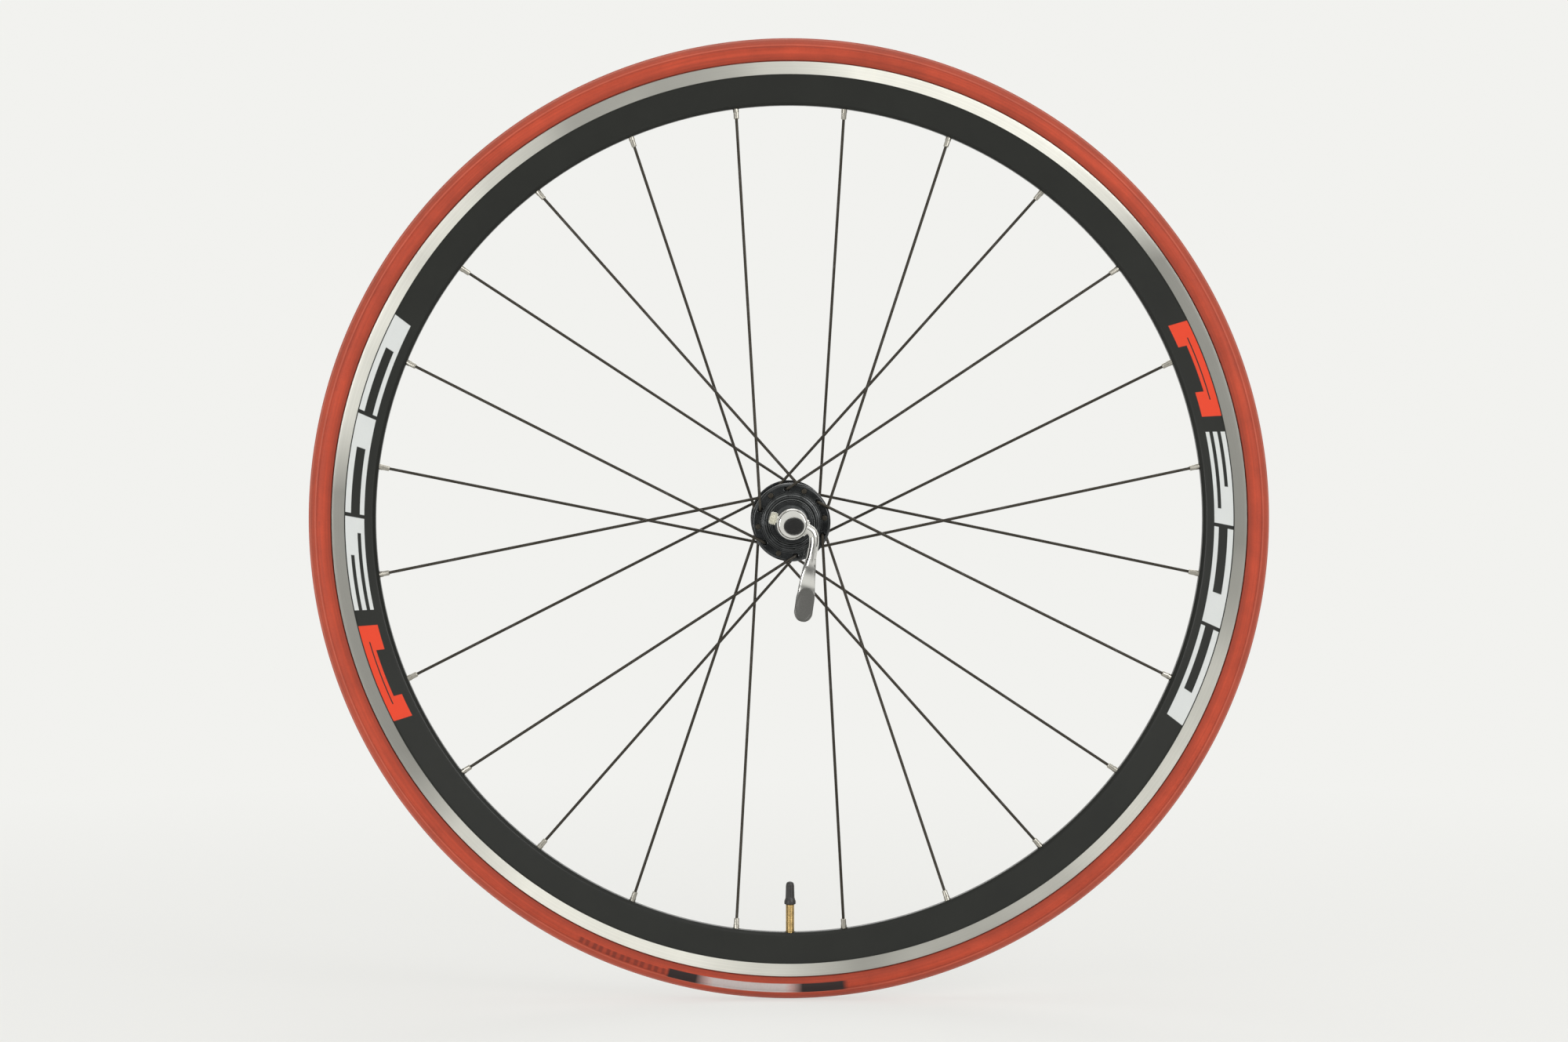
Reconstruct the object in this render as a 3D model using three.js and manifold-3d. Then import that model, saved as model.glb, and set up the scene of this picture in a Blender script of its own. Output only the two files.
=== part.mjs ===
// A quick-release bicycle front wheel: clincher tyre, 24-spoke rim, cone-and-cup hub and cam skewer.
// Units are millimetres. The origin is the wheel's centre, +Y runs along the axle away from the lever,
// +Z is up and the lever hangs on the -Y side.
import * as THREE from 'three';
import { mergeVertices } from 'three/addons/utils/BufferGeometryUtils.js';
import Module from 'manifold-3d';

const wasm = await Module();
wasm.setup();

// ---------------------------------------------------------------- driving dimensions
// Fits
const SEAT_GAP = 0.3; // between pieces that touch on the real wheel
const RUNNING_GAP = 0.4; // between pieces that turn or slide on each other

// Wheel, tyre and rim
const BEAD_SEAT_RADIUS = 311; // 622 mm bead seat, the 700C size
const TYRE_WIDTH = 23;
const TYRE_HEIGHT = 22.5; // from the bead seat to the crown
const TYRE_WALL = 1.7;
const TREAD_THICKNESS = 3.3;
const RIM_WIDTH = 20.5;
const RIM_WALL = 1.7; // at the brake tracks
const RIM_SKIN = 1.1; // around the hollow under the tyre well
const RIM_HOOK_HEIGHT = 6; // bead seat to the rim's outer edge
const RIM_WELL_DEPTH = 4;
const RIM_DEPTH = 30; // outer edge to the spoke bed
const RIM_NOSE_WIDTH = 10.8;
const RIM_INNER_WALL = 2.3; // the wall that the nipples pull on
const BRAKE_TRACK_HEIGHT = 9;
const TAPE_THICKNESS = 0.7;
const TUBE_WALL = 0.9;

// Spokes and nipples
const SPOKE_COUNT = 24;
const SPOKE_RADIUS = 1;
const SPOKE_CROSS_ANGLE = 60; // degrees between a spoke's rim hole and its hub hole
const SPOKE_HEAD_RADIUS = 1.9;
const SPOKE_HEAD_THICKNESS = 1;
const SPOKE_ELBOW_RISE = 2; // from the flange to the middle of a spoke that runs on its outer side
const NIPPLE_RADIUS = 1.9;
const NIPPLE_HEAD_RADIUS = 2.8;
const NIPPLE_HEAD_LENGTH = 2.4;
const NIPPLE_REACH = 7; // how far a nipple stands out of the spoke bed

// Hub shell
const FLANGE_RADIUS = 27;
const FLANGE_THICKNESS = 3;
const FLANGE_SPACING = 70; // between the middles of the two flanges
const SPOKE_CIRCLE_RADIUS = 23;
const BARREL_RADIUS = 14;
const SHELL_COLLAR_RADIUS = 18;
const SHELL_COLLAR_HEIGHT = 2.6; // how far the collar stands out of the flange
const CUP_RADIUS = 13;
const CUP_LENGTH = 8;
const DUST_CAP_RADIUS = 15;

// Bearings
const BALL_RADIUS = 2.38;
const BALL_COUNT = 9;
const BALL_CIRCLE_RADIUS = 9.2;
const RACE_GAP = 0.25;
const RETAINER_THICKNESS = 0.7;

// Axle, cones and locknuts
const OVER_LOCKNUT = 100; // the width that the fork ends stand apart
const AXLE_RADIUS = 4.5;
const AXLE_OVERHANG = 4; // beyond each locknut
const CONE_RADIUS = 8.9;
const CONE_FLAT_WIDTH = 15;
const LOCK_WASHER_THICKNESS = 1;
const LOCKNUT_RADIUS = 8.6;
const LOCKNUT_THICKNESS = 6.4;

// Skewer
const FORK_END_THICKNESS = 6; // what the skewer clamps against each locknut
const SKEWER_TILT = 17; // degrees that the whole skewer is turned about the axle
const ROD_RADIUS = 2.5;
const HOUSING_RADIUS = 10.6;
const HOUSING_LENGTH = 18.5;
const CAM_DEPTH = 10; // from the housing's clamping face to the lever's pivot
const CAM_THROW = 1;
const CAM_RADIUS = 3.2;
const CAM_JOURNAL_RADIUS = 4.6;
const CAM_TAIL_RADIUS = 2.4;
const CAM_END_RADIUS = 4.3;
const CAM_END_LENGTH = 5.2;
const EYE_WIDTH = 6;
const EYE_WALL = 1.6;
const LEVER_ARM_RADIUS = 3.4;
const LEVER_REACH = 62; // from the pivot to the tip
const LEVER_OFFSET = 18; // sideways, from the skewer's middle to the arm
const LEVER_SPLAY = 8; // how much further out the tip stands
const PADDLE_FLARE = 1.35;
const PADDLE_WIDTH = 12.6;
const PADDLE_THICKNESS = 4.2;
const PADDLE_DISH = 4.5; // how far the tip bends towards the wheel
const SPRING_WIRE = 0.45; // radius
const SPRING_TURNS = 3;
const SPRING_WIDE_RADIUS = 6;
const SPRING_POCKET_DEPTH = 4.6;
const NUT_RADIUS = 9.6;
const NUT_LENGTH = 14;
const NUT_RING_THICKNESS = 1.2;
const INSERT_WALL = 2.2;
const INSERT_LENGTH = 3;

// Valve
const VALVE_RADIUS = 3;
const VALVE_STANDOUT = 19; // stem seen between the spoke bed and the cap
const VALVE_FOOT_RADIUS = 4.2;
const VALVE_FOOT_THICKNESS = 0.8;
const VALVE_NECK_RADIUS = 2.3;
const VALVE_NECK_LENGTH = 5.5;
const VALVE_PIN_RADIUS = 0.8;
const VALVE_PIN_STANDOUT = 5.6;
const VALVE_PIN_DEPTH = 12; // into the stem
const VALVE_NUT_RADIUS = 1.8;
const VALVE_NUT_HEIGHT = 1.9;
const VALVE_PIN_TRAVEL = 1.2;
const VALVE_CAP_LENGTH = 16;
const VALVE_CAP_RADIUS = 4;

// Facets
const RING_FACETS = 40;
const TUBE_FACETS = 40;
const HUB_FACETS = 24;
const SPOKE_FACETS = 5;
const HOLE_FACETS = 6;
const BORE_FACETS = 20;
const SMALL_FACETS = 16;
const VALVE_FACETS = 12;
const PIN_FACETS = 8;

// ---------------------------------------------------------------- helpers
const radians = THREE.MathUtils.degToRad;
const at = (radius, y) => new THREE.Vector2(radius, y);

// A closed three.js geometry as a manifold solid, with its faces pointing out.
function solidOf(geometry) {
  const shell = geometry.clone();
  shell.deleteAttribute('normal');
  shell.deleteAttribute('uv');
  const merged = mergeVertices(shell, 1e-4);
  const points = merged.attributes.position.array;
  const triangles = Array.from(merged.index.array);
  const corner = (n) => new THREE.Vector3().fromArray(points, 3 * triangles[n]);
  let volume = 0;
  for (let n = 0; n < triangles.length; n += 3) {
    volume += corner(n).dot(corner(n + 1).cross(corner(n + 2))) / 6;
  }
  if (volume < 0) triangles.reverse();
  const kept = [];
  for (let n = 0; n < triangles.length; n += 3) {
    const [a, b, c] = triangles.slice(n, n + 3);
    if (a !== b && b !== c && a !== c) kept.push(a, b, c);
  }
  const mesh = { numProp: 3, vertProperties: new Float32Array(points), triVerts: new Uint32Array(kept) };
  return new wasm.Manifold(new wasm.Mesh(mesh));
}

function geometryOf(solid) {
  const mesh = solid.getMesh();
  const geometry = new THREE.BufferGeometry();
  geometry.setAttribute('position', new THREE.BufferAttribute(mesh.vertProperties, 3));
  geometry.setIndex(new THREE.BufferAttribute(mesh.triVerts, 1));
  geometry.computeVertexNormals();
  return geometry;
}

const joined = (solids) => solids.reduce((sum, solid) => sum.add(solid));
const cutFrom = (solid, cutters) => cutters.reduce((left, cutter) => left.subtract(cutter), solid);

// A ring about the Y axis from a closed outline of (radius, y) points.
function ring(outline, facets) {
  return solidOf(new THREE.LatheGeometry([...outline, outline[0]], facets));
}

// A plain ring or sleeve about the Y axis.
function sleeve(inner, outer, low, high, facets) {
  return ring([at(inner, low), at(outer, low), at(outer, high), at(inner, high)], facets);
}

// Moves a solid made about the Y axis onto the line from one point to another.
function aimed(geometry, from, to) {
  const direction = to.clone().sub(from).normalize();
  const turn = new THREE.Quaternion().setFromUnitVectors(new THREE.Vector3(0, 1, 0), direction);
  return solidOf(geometry.clone().applyQuaternion(turn).translate(from.x, from.y, from.z));
}

// A solid bar of round section between two points.
function bar(radius, from, to, facets) {
  const length = from.distanceTo(to);
  const geometry = new THREE.CylinderGeometry(radius, radius, length, facets).translate(0, length / 2, 0);
  return aimed(geometry, from, to);
}

function box(lowX, highX, lowY, highY, lowZ, highZ) {
  const geometry = new THREE.BoxGeometry(highX - lowX, highY - lowY, highZ - lowZ);
  geometry.translate((lowX + highX) / 2, (lowY + highY) / 2, (lowZ + highZ) / 2);
  return solidOf(geometry);
}

// A point of the wheel: radius and angle in the wheel's plane, counted from +X towards +Z.
function wheelPoint(radius, degrees, y) {
  const angle = radians(degrees);
  return new THREE.Vector3(radius * Math.cos(angle), y, radius * Math.sin(angle));
}

// The outline of one side, with its mirror image across the wheel's middle plane.
function mirrored(half) {
  const other = half.map((p) => at(p.x, -p.y)).reverse();
  return [...half, ...other.filter((p, n) => p.y !== half[half.length - 1 - n].y)];
}

function flipped(outline, side) {
  return outline.map((p) => at(p.x, side * p.y));
}

const object = new THREE.Group();
const skewer = new THREE.Group();
skewer.rotation.y = radians(SKEWER_TILT);
object.add(skewer);

const FINISHES = {
  tyre: [0xa8432e, 0.85, 0],
  blackRubber: [0x1a1a1a, 0.8, 0],
  tape: [0x2d6fb5, 0.6, 0],
  blackPaint: [0x141416, 0.3, 0.2],
  blackSpoke: [0x1c1c1e, 0.4, 0.6],
  blackAnodised: [0x121214, 0.22, 0.7],
  steel: [0xa9abad, 0.3, 1],
  chrome: [0xd8dadc, 0.08, 1],
  brass: [0xb08d4a, 0.35, 1],
  blackPlastic: [0x101010, 0.4, 0],
  clearPlastic: [0xd9d5bd, 0.2, 0],
  aluminium: [0xc4c6c8, 0.3, 1],
};

function addPiece(parent, name, solid, finish) {
  const [color, roughness, metalness] = FINISHES[finish];
  const material = new THREE.MeshStandardMaterial({ color, roughness, metalness });
  const mesh = new THREE.Mesh(geometryOf(solid), material);
  mesh.name = name;
  parent.add(mesh);
}

// ---------------------------------------------------------------- rim
const rimEdgeRadius = BEAD_SEAT_RADIUS + RIM_HOOK_HEIGHT;
const spokeBedRadius = rimEdgeRadius - RIM_DEPTH;
const trackFootRadius = rimEdgeRadius - BRAKE_TRACK_HEIGHT;
const wellRadius = BEAD_SEAT_RADIUS - RIM_WELL_DEPTH;
const rimHalf = RIM_WIDTH / 2;
const noseHalf = RIM_NOSE_WIDTH / 2;
const rimInnerHalf = rimHalf - RIM_WALL;
const wellHalf = rimInnerHalf - 3;
const cavityFloor = spokeBedRadius + RIM_INNER_WALL;
const cavityRoof = wellRadius - RIM_SKIN;

// Half width of the rim's outside between the nose and the brake track.
function flankHalf(radius) {
  const along = (radius - spokeBedRadius - 2) / (trackFootRadius - spokeBedRadius - 2);
  return THREE.MathUtils.lerp(noseHalf, rimHalf, along);
}

const rimOutside = mirrored([
  at(spokeBedRadius, noseHalf - 2),
  at(spokeBedRadius + 2, noseHalf),
  at(trackFootRadius, rimHalf),
  at(rimEdgeRadius, rimHalf),
  at(rimEdgeRadius, rimInnerHalf),
  at(BEAD_SEAT_RADIUS, rimInnerHalf),
  at(BEAD_SEAT_RADIUS, wellHalf + 1),
  at(wellRadius, wellHalf),
]);
const rimCavity = mirrored([
  at(cavityFloor, noseHalf - RIM_SKIN - 0.6),
  at(cavityFloor + 1.2, flankHalf(cavityFloor + 1.2) - RIM_SKIN),
  at(cavityRoof, flankHalf(cavityRoof) - RIM_SKIN),
]);

// ---------------------------------------------------------------- spokes
const flangeMiddle = FLANGE_SPACING / 2;
const flangeOuterFace = flangeMiddle + FLANGE_THICKNESS / 2;
const flangeInnerFace = flangeMiddle - FLANGE_THICKNESS / 2;
const spokeStep = 360 / SPOKE_COUNT;
const nippleHoleRadius = NIPPLE_RADIUS + SEAT_GAP + 0.2;
const spokeHoleRadius = SPOKE_RADIUS + SEAT_GAP + 0.1;

// Every second rim hole belongs to the front flange. On each flange the spokes lean one way and the other
// in turn, and those that lean clockwise from hub to rim, seen from outside, run on the flange's outer side.
function spokeRoute(index) {
  const front = index % 2 === 0;
  const side = front ? -1 : 1;
  const rimAngle = (index + 0.5) * spokeStep;
  const leansForward = Math.floor(index / 2) % 2 === 1;
  const hubAngle = rimAngle + (leansForward ? SPOKE_CROSS_ANGLE : -SPOKE_CROSS_ANGLE);
  const outside = front ? leansForward : !leansForward;
  const runY = outside ? flangeOuterFace + SPOKE_ELBOW_RISE : flangeInnerFace - SPOKE_RADIUS - SEAT_GAP;
  const headFace = outside ? flangeInnerFace - SEAT_GAP : flangeOuterFace + SEAT_GAP;
  const headEnd = outside ? headFace - SPOKE_HEAD_THICKNESS : headFace + SPOKE_HEAD_THICKNESS;
  return {
    front,
    bend: wheelPoint(SPOKE_CIRCLE_RADIUS, hubAngle, side * runY),
    headFace: wheelPoint(SPOKE_CIRCLE_RADIUS, hubAngle, side * headFace),
    headEnd: wheelPoint(SPOKE_CIRCLE_RADIUS, hubAngle, side * headEnd),
    rimPoint: wheelPoint((spokeBedRadius + cavityFloor) / 2, rimAngle, side * 0.6),
  };
}

const spokeRoutes = Array.from({ length: SPOKE_COUNT }, (unused, index) => spokeRoute(index));

// A point on a spoke's line, counted outwards from the middle of the rim's inner wall.
function alongSpoke(route, distance) {
  const direction = route.rimPoint.clone().sub(route.bend).normalize();
  return route.rimPoint.clone().addScaledVector(direction, distance);
}

const innerWallHalf = RIM_INNER_WALL / 2;
const nippleHeadStart = innerWallHalf + SEAT_GAP + 0.45;

// A bar of round section whose radius changes in steps, each given as [radius, distance from the start].
function steppedBar(steps, from, to, facets) {
  const outline = steps.flatMap(([radius, end], n) => {
    const start = n === 0 ? 0 : steps[n - 1][1];
    return [at(radius, start), at(radius, end)];
  });
  const profile = [at(0, 0), ...outline, at(0, steps[steps.length - 1][1])];
  return aimed(new THREE.LatheGeometry(profile, facets), from, to);
}

function spokeWithNipple(route) {
  const runStart = route.bend.clone().sub(route.rimPoint).setLength(SPOKE_RADIUS * 1.3).add(route.bend);
  const wallFromStart = runStart.distanceTo(route.rimPoint);
  const headStart = wallFromStart + nippleHeadStart;
  const run = steppedBar([
    [SPOKE_RADIUS, wallFromStart - innerWallHalf - NIPPLE_REACH],
    [NIPPLE_RADIUS, headStart],
    [NIPPLE_HEAD_RADIUS, headStart + NIPPLE_HEAD_LENGTH],
  ], runStart, route.rimPoint, SPOKE_FACETS);
  const elbow = steppedBar([
    [SPOKE_HEAD_RADIUS, SPOKE_HEAD_THICKNESS],
    [SPOKE_RADIUS * 0.9, route.headEnd.distanceTo(route.bend)],
  ], route.headEnd, route.bend, SPOKE_FACETS);
  return run.add(elbow);
}

spokeRoutes.forEach((route, index) => {
  const number = String(Math.floor(index / 2) + 1).padStart(2, '0');
  const name = `spoke_${route.front ? 'front' : 'rear'}_${number}`;
  addPiece(object, name, spokeWithNipple(route), 'blackSpoke');
});

// ---------------------------------------------------------------- rim with its holes
const valveAngle = -90;
const valveLine = (low, high, radius, facets) =>
  bar(radius, wheelPoint(high, valveAngle, 0), wheelPoint(low, valveAngle, 0), facets);

const nippleHoles = spokeRoutes.map((route) =>
  bar(nippleHoleRadius, alongSpoke(route, -6), alongSpoke(route, innerWallHalf + 1.2), HOLE_FACETS));
const valveHoleRadius = VALVE_RADIUS + SEAT_GAP + 0.1;
const valveHole = valveLine(spokeBedRadius - 2, BEAD_SEAT_RADIUS, valveHoleRadius, VALVE_FACETS);
const rim = cutFrom(ring(rimOutside, RING_FACETS), [
  ring(rimCavity, RING_FACETS),
  valveHole,
  ...nippleHoles,
]);
addPiece(object, 'rim', rim, 'blackPaint');

// ---------------------------------------------------------------- rim tape, tyre and inner tube
const tapeLow = wellRadius + SEAT_GAP;
const tapeHigh = tapeLow + TAPE_THICKNESS;
const tapeHalf = wellHalf - SEAT_GAP;
const tape = cutFrom(sleeve(tapeLow, tapeHigh, -tapeHalf, tapeHalf, RING_FACETS), [valveHole]);
addPiece(object, 'rim_tape', tape, 'tape');

const crownRadius = BEAD_SEAT_RADIUS + TYRE_HEIGHT;
const beadRadius = BEAD_SEAT_RADIUS + SEAT_GAP;
const beadOuterHalf = rimInnerHalf - SEAT_GAP;
const beadInnerHalf = beadOuterHalf - TYRE_WALL;
const casingFoot = rimEdgeRadius + SEAT_GAP;
const casingHeight = crownRadius - casingFoot;
const tyreHalf = TYRE_WIDTH / 2;
const up = (share) => casingFoot + share * casingHeight;
const tyreOutline = mirrored([
  at(crownRadius, tyreHalf * 0.14),
  at(up(0.92), tyreHalf * 0.48),
  at(up(0.74), tyreHalf * 0.78),
  at(up(0.4), tyreHalf),
  at(up(0.14), tyreHalf * 0.93),
  at(casingFoot, beadOuterHalf),
  at(beadRadius, beadOuterHalf),
  at(beadRadius, beadInnerHalf),
  at(casingFoot - 0.6, beadInnerHalf),
  at(up(0.26), tyreHalf - TYRE_WALL),
  at(up(0.58), tyreHalf * 0.9 - TYRE_WALL),
  at(crownRadius - TREAD_THICKNESS, tyreHalf * 0.24),
]);
addPiece(object, 'tyre', ring(tyreOutline, RING_FACETS), 'tyre');

// The tube's section follows the inside of the tyre; its own wall is the same outline drawn in by TUBE_WALL.
const tubeMiddle = up(0.3);
const tubeTop = crownRadius - TREAD_THICKNESS - SEAT_GAP - 0.5;
const tubeBottom = beadRadius + 0.6;
function tubeOutline(inset) {
  return mirrored([
    at(tubeBottom + inset, beadInnerHalf - 2.2 - inset * 0.5),
    at(casingFoot, beadInnerHalf - 0.6 - inset),
    at(up(0.36), tyreHalf - TYRE_WALL - 0.8 - inset),
    at(tubeTop - inset, tyreHalf * 0.26 - inset * 0.4),
  ]);
}
const tubeHole = valveLine(tubeBottom - 1, tubeMiddle, VALVE_RADIUS / 2, PIN_FACETS);
const tubeHollow = ring(tubeOutline(TUBE_WALL), TUBE_FACETS);
const tube = cutFrom(ring(tubeOutline(0), TUBE_FACETS), [tubeHollow, tubeHole]);
addPiece(object, 'inner_tube', tube, 'blackRubber');

// ---------------------------------------------------------------- valve
const stemFoot = tubeBottom * Math.cos(Math.PI / TUBE_FACETS) - SEAT_GAP;
const stemTop = spokeBedRadius - VALVE_STANDOUT;
const neckTop = stemTop - VALVE_NECK_LENGTH;
const stem = cutFrom(
  joined([
    valveLine(stemTop, stemFoot - 0.2, VALVE_RADIUS, VALVE_FACETS),
    valveLine(stemFoot - VALVE_FOOT_THICKNESS, stemFoot, VALVE_FOOT_RADIUS, VALVE_FACETS),
    valveLine(neckTop, stemTop + 1, VALVE_NECK_RADIUS, VALVE_FACETS),
  ]),
  [valveLine(neckTop - 1, stemFoot + 1, VALVE_PIN_RADIUS + RUNNING_GAP, PIN_FACETS)],
);
addPiece(object, 'valve_stem', stem, 'brass');

const pinTop = neckTop - VALVE_PIN_STANDOUT;
const valvePin = valveLine(pinTop, neckTop + VALVE_PIN_DEPTH, VALVE_PIN_RADIUS, PIN_FACETS);
addPiece(object, 'valve_pin', valvePin, 'brass');

const valveNutFoot = neckTop - VALVE_PIN_TRAVEL - SEAT_GAP;
const valveNutTop = valveNutFoot - VALVE_NUT_HEIGHT;
const valveNut = cutFrom(valveLine(valveNutTop, valveNutFoot, VALVE_NUT_RADIUS, VALVE_FACETS), [
  valveLine(pinTop - 1, neckTop, VALVE_PIN_RADIUS + RUNNING_GAP, PIN_FACETS),
]);
addPiece(object, 'valve_nut', valveNut, 'brass');

// The cap: flared at its mouth, tapering to a rounded tip, hollow over the neck and the pin.
const capMouth = stemTop - SEAT_GAP;
const capTip = capMouth - VALVE_CAP_LENGTH;
const capOutline = [
  at(0, 0),
  at(VALVE_CAP_RADIUS, 0),
  at(VALVE_CAP_RADIUS, 2),
  at(VALVE_CAP_RADIUS - 0.9, 5),
  at(VALVE_CAP_RADIUS - 1.2, VALVE_CAP_LENGTH - 2),
  at(VALVE_CAP_RADIUS - 2.2, VALVE_CAP_LENGTH - 0.4),
  at(0, VALVE_CAP_LENGTH),
];
const capBody = aimed(new THREE.LatheGeometry(capOutline, HUB_FACETS),
  wheelPoint(capMouth, valveAngle, 0), wheelPoint(capTip, valveAngle, 0));
const capHollow = valveLine(pinTop - 1, capMouth + 1, VALVE_NECK_RADIUS + SEAT_GAP, VALVE_FACETS);
addPiece(object, 'valve_cap', cutFrom(capBody, [capHollow]), 'blackPlastic');

// ---------------------------------------------------------------- hub shell
const cupSeatRadius = CUP_RADIUS + SEAT_GAP;
const capSeatRadius = DUST_CAP_RADIUS + SEAT_GAP;
const cupOuterEnd = flangeMiddle;
const cupInnerEnd = cupOuterEnd - CUP_LENGTH;
const collarEnd = flangeOuterFace + SHELL_COLLAR_HEIGHT;
const shellBoreRadius = CUP_RADIUS - 2.5;
const shellOutline = mirrored([
  at(BARREL_RADIUS, flangeInnerFace * 0.6),
  at(SHELL_COLLAR_RADIUS - 0.6, flangeInnerFace - 2.5),
  at(SHELL_COLLAR_RADIUS + 1, flangeInnerFace),
  at(FLANGE_RADIUS, flangeInnerFace),
  at(FLANGE_RADIUS, flangeOuterFace - 0.9),
  at(FLANGE_RADIUS - 1, flangeOuterFace),
  at(SHELL_COLLAR_RADIUS + 0.4, flangeOuterFace),
  at(SHELL_COLLAR_RADIUS - 0.6, collarEnd),
  at(capSeatRadius, collarEnd),
  at(capSeatRadius, cupOuterEnd + SEAT_GAP),
  at(cupSeatRadius, cupOuterEnd + SEAT_GAP),
  at(cupSeatRadius, cupInnerEnd - SEAT_GAP),
  at(shellBoreRadius, cupInnerEnd - SEAT_GAP),
]);
const spokeHoles = spokeRoutes.map((route) => {
  const overshoot = route.headEnd.clone().sub(route.bend).setLength(2);
  return bar(spokeHoleRadius, route.bend, route.headEnd.clone().add(overshoot), HOLE_FACETS);
});
addPiece(object, 'hub_shell', cutFrom(ring(shellOutline, HUB_FACETS), spokeHoles), 'blackAnodised');

// ---------------------------------------------------------------- bearings, axle, cones and locknuts
const locknutFace = OVER_LOCKNUT / 2;
const locknutBack = locknutFace - LOCKNUT_THICKNESS;
const washerFace = locknutBack - SEAT_GAP;
const washerBack = washerFace - LOCK_WASHER_THICKNESS;
const coneFace = washerBack - SEAT_GAP;
const ballPlane = cupOuterEnd - 3;
const raceRadius = BALL_RADIUS + RACE_GAP;
const threadHoleRadius = AXLE_RADIUS + SEAT_GAP;

// Points of a race's section, an arc about the middle of a ball, from one direction to another in degrees.
function raceArc(from, to, steps) {
  return Array.from({ length: steps + 1 }, (unused, n) => {
    const angle = radians(from + ((to - from) * n) / steps);
    return at(BALL_CIRCLE_RADIUS + raceRadius * Math.cos(angle), ballPlane + raceRadius * Math.sin(angle));
  });
}

function addHubEnd(side, where) {
  const cupOutline = [
    at(CUP_RADIUS, cupInnerEnd),
    at(BALL_CIRCLE_RADIUS - 1.8, cupInnerEnd),
    at(BALL_CIRCLE_RADIUS - 1.8, ballPlane - raceRadius),
    ...raceArc(-90, 0, 2),
    at(BALL_CIRCLE_RADIUS + raceRadius, cupOuterEnd),
    at(CUP_RADIUS, cupOuterEnd),
  ];
  addPiece(object, `bearing_cup_${where}`, ring(flipped(cupOutline, side), HUB_FACETS), 'steel');

  const coneOutline = [
    at(threadHoleRadius, ballPlane - raceRadius),
    at(BALL_CIRCLE_RADIUS - raceRadius, ballPlane - raceRadius),
    ...raceArc(180, 97, 2),
    at(CONE_RADIUS, coneFace),
    at(threadHoleRadius, coneFace),
  ];
  const flatReach = CONE_RADIUS + 1;
  const flatLow = Math.min(side * (coneFace - 3), side * (coneFace + 1));
  const flatHigh = Math.max(side * (coneFace - 3), side * (coneFace + 1));
  const cone = cutFrom(ring(flipped(coneOutline, side), HUB_FACETS), [
    box(-flatReach, flatReach, flatLow, flatHigh, CONE_FLAT_WIDTH / 2, flatReach),
    box(-flatReach, flatReach, flatLow, flatHigh, -flatReach, -CONE_FLAT_WIDTH / 2),
  ]);
  addPiece(object, `cone_${where}`, cone, 'steel');

  const retainerLow = ballPlane + BALL_RADIUS * 0.5;
  const retainerOutline = [
    at(BALL_CIRCLE_RADIUS - 0.3, retainerLow),
    at(BALL_CIRCLE_RADIUS + 1.7, retainerLow),
    at(BALL_CIRCLE_RADIUS + 1.7, retainerLow + RETAINER_THICKNESS),
    at(BALL_CIRCLE_RADIUS - 0.3, retainerLow + RETAINER_THICKNESS),
  ];
  const balls = Array.from({ length: BALL_COUNT }, (unused, n) => {
    const middle = wheelPoint(BALL_CIRCLE_RADIUS, (360 * n) / BALL_COUNT, side * ballPlane);
    return solidOf(new THREE.OctahedronGeometry(BALL_RADIUS, 1).translate(middle.x, middle.y, middle.z));
  });
  const retainer = ring(flipped(retainerOutline, side), HUB_FACETS);
  addPiece(object, `ball_ring_${where}`, joined([retainer, ...balls]), 'steel');

  const dustCapBack = cupOuterEnd + 2 * SEAT_GAP;
  const dustCapOutline = [
    at(CONE_RADIUS + RUNNING_GAP + 0.2, collarEnd - 1.6),
    at(DUST_CAP_RADIUS - 0.9, collarEnd - 1.6),
    at(DUST_CAP_RADIUS - 0.9, dustCapBack),
    at(DUST_CAP_RADIUS, dustCapBack),
    at(DUST_CAP_RADIUS, collarEnd - 0.4),
    at(CONE_RADIUS + RUNNING_GAP + 0.2, collarEnd - 0.4),
  ];
  addPiece(object, `dust_cap_${where}`, ring(flipped(dustCapOutline, side), HUB_FACETS), 'blackAnodised');

  const ends = (low, high) => (side > 0 ? [low, high] : [-high, -low]);
  const washer = sleeve(threadHoleRadius, CONE_RADIUS - 1.2, ...ends(washerBack, washerFace), HUB_FACETS);
  addPiece(object, `lock_washer_${where}`, washer, 'steel');

  const locknut = sleeve(threadHoleRadius, LOCKNUT_RADIUS, ...ends(locknutBack, locknutFace), HUB_FACETS);
  addPiece(object, `locknut_${where}`, locknut, 'steel');
}

addHubEnd(-1, 'front');
addHubEnd(1, 'rear');

const axleEnd = locknutFace + AXLE_OVERHANG;
const rodHoleRadius = ROD_RADIUS + RUNNING_GAP + 0.1;
addPiece(object, 'axle', sleeve(rodHoleRadius, AXLE_RADIUS, -axleEnd, axleEnd, HUB_FACETS), 'steel');

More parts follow.
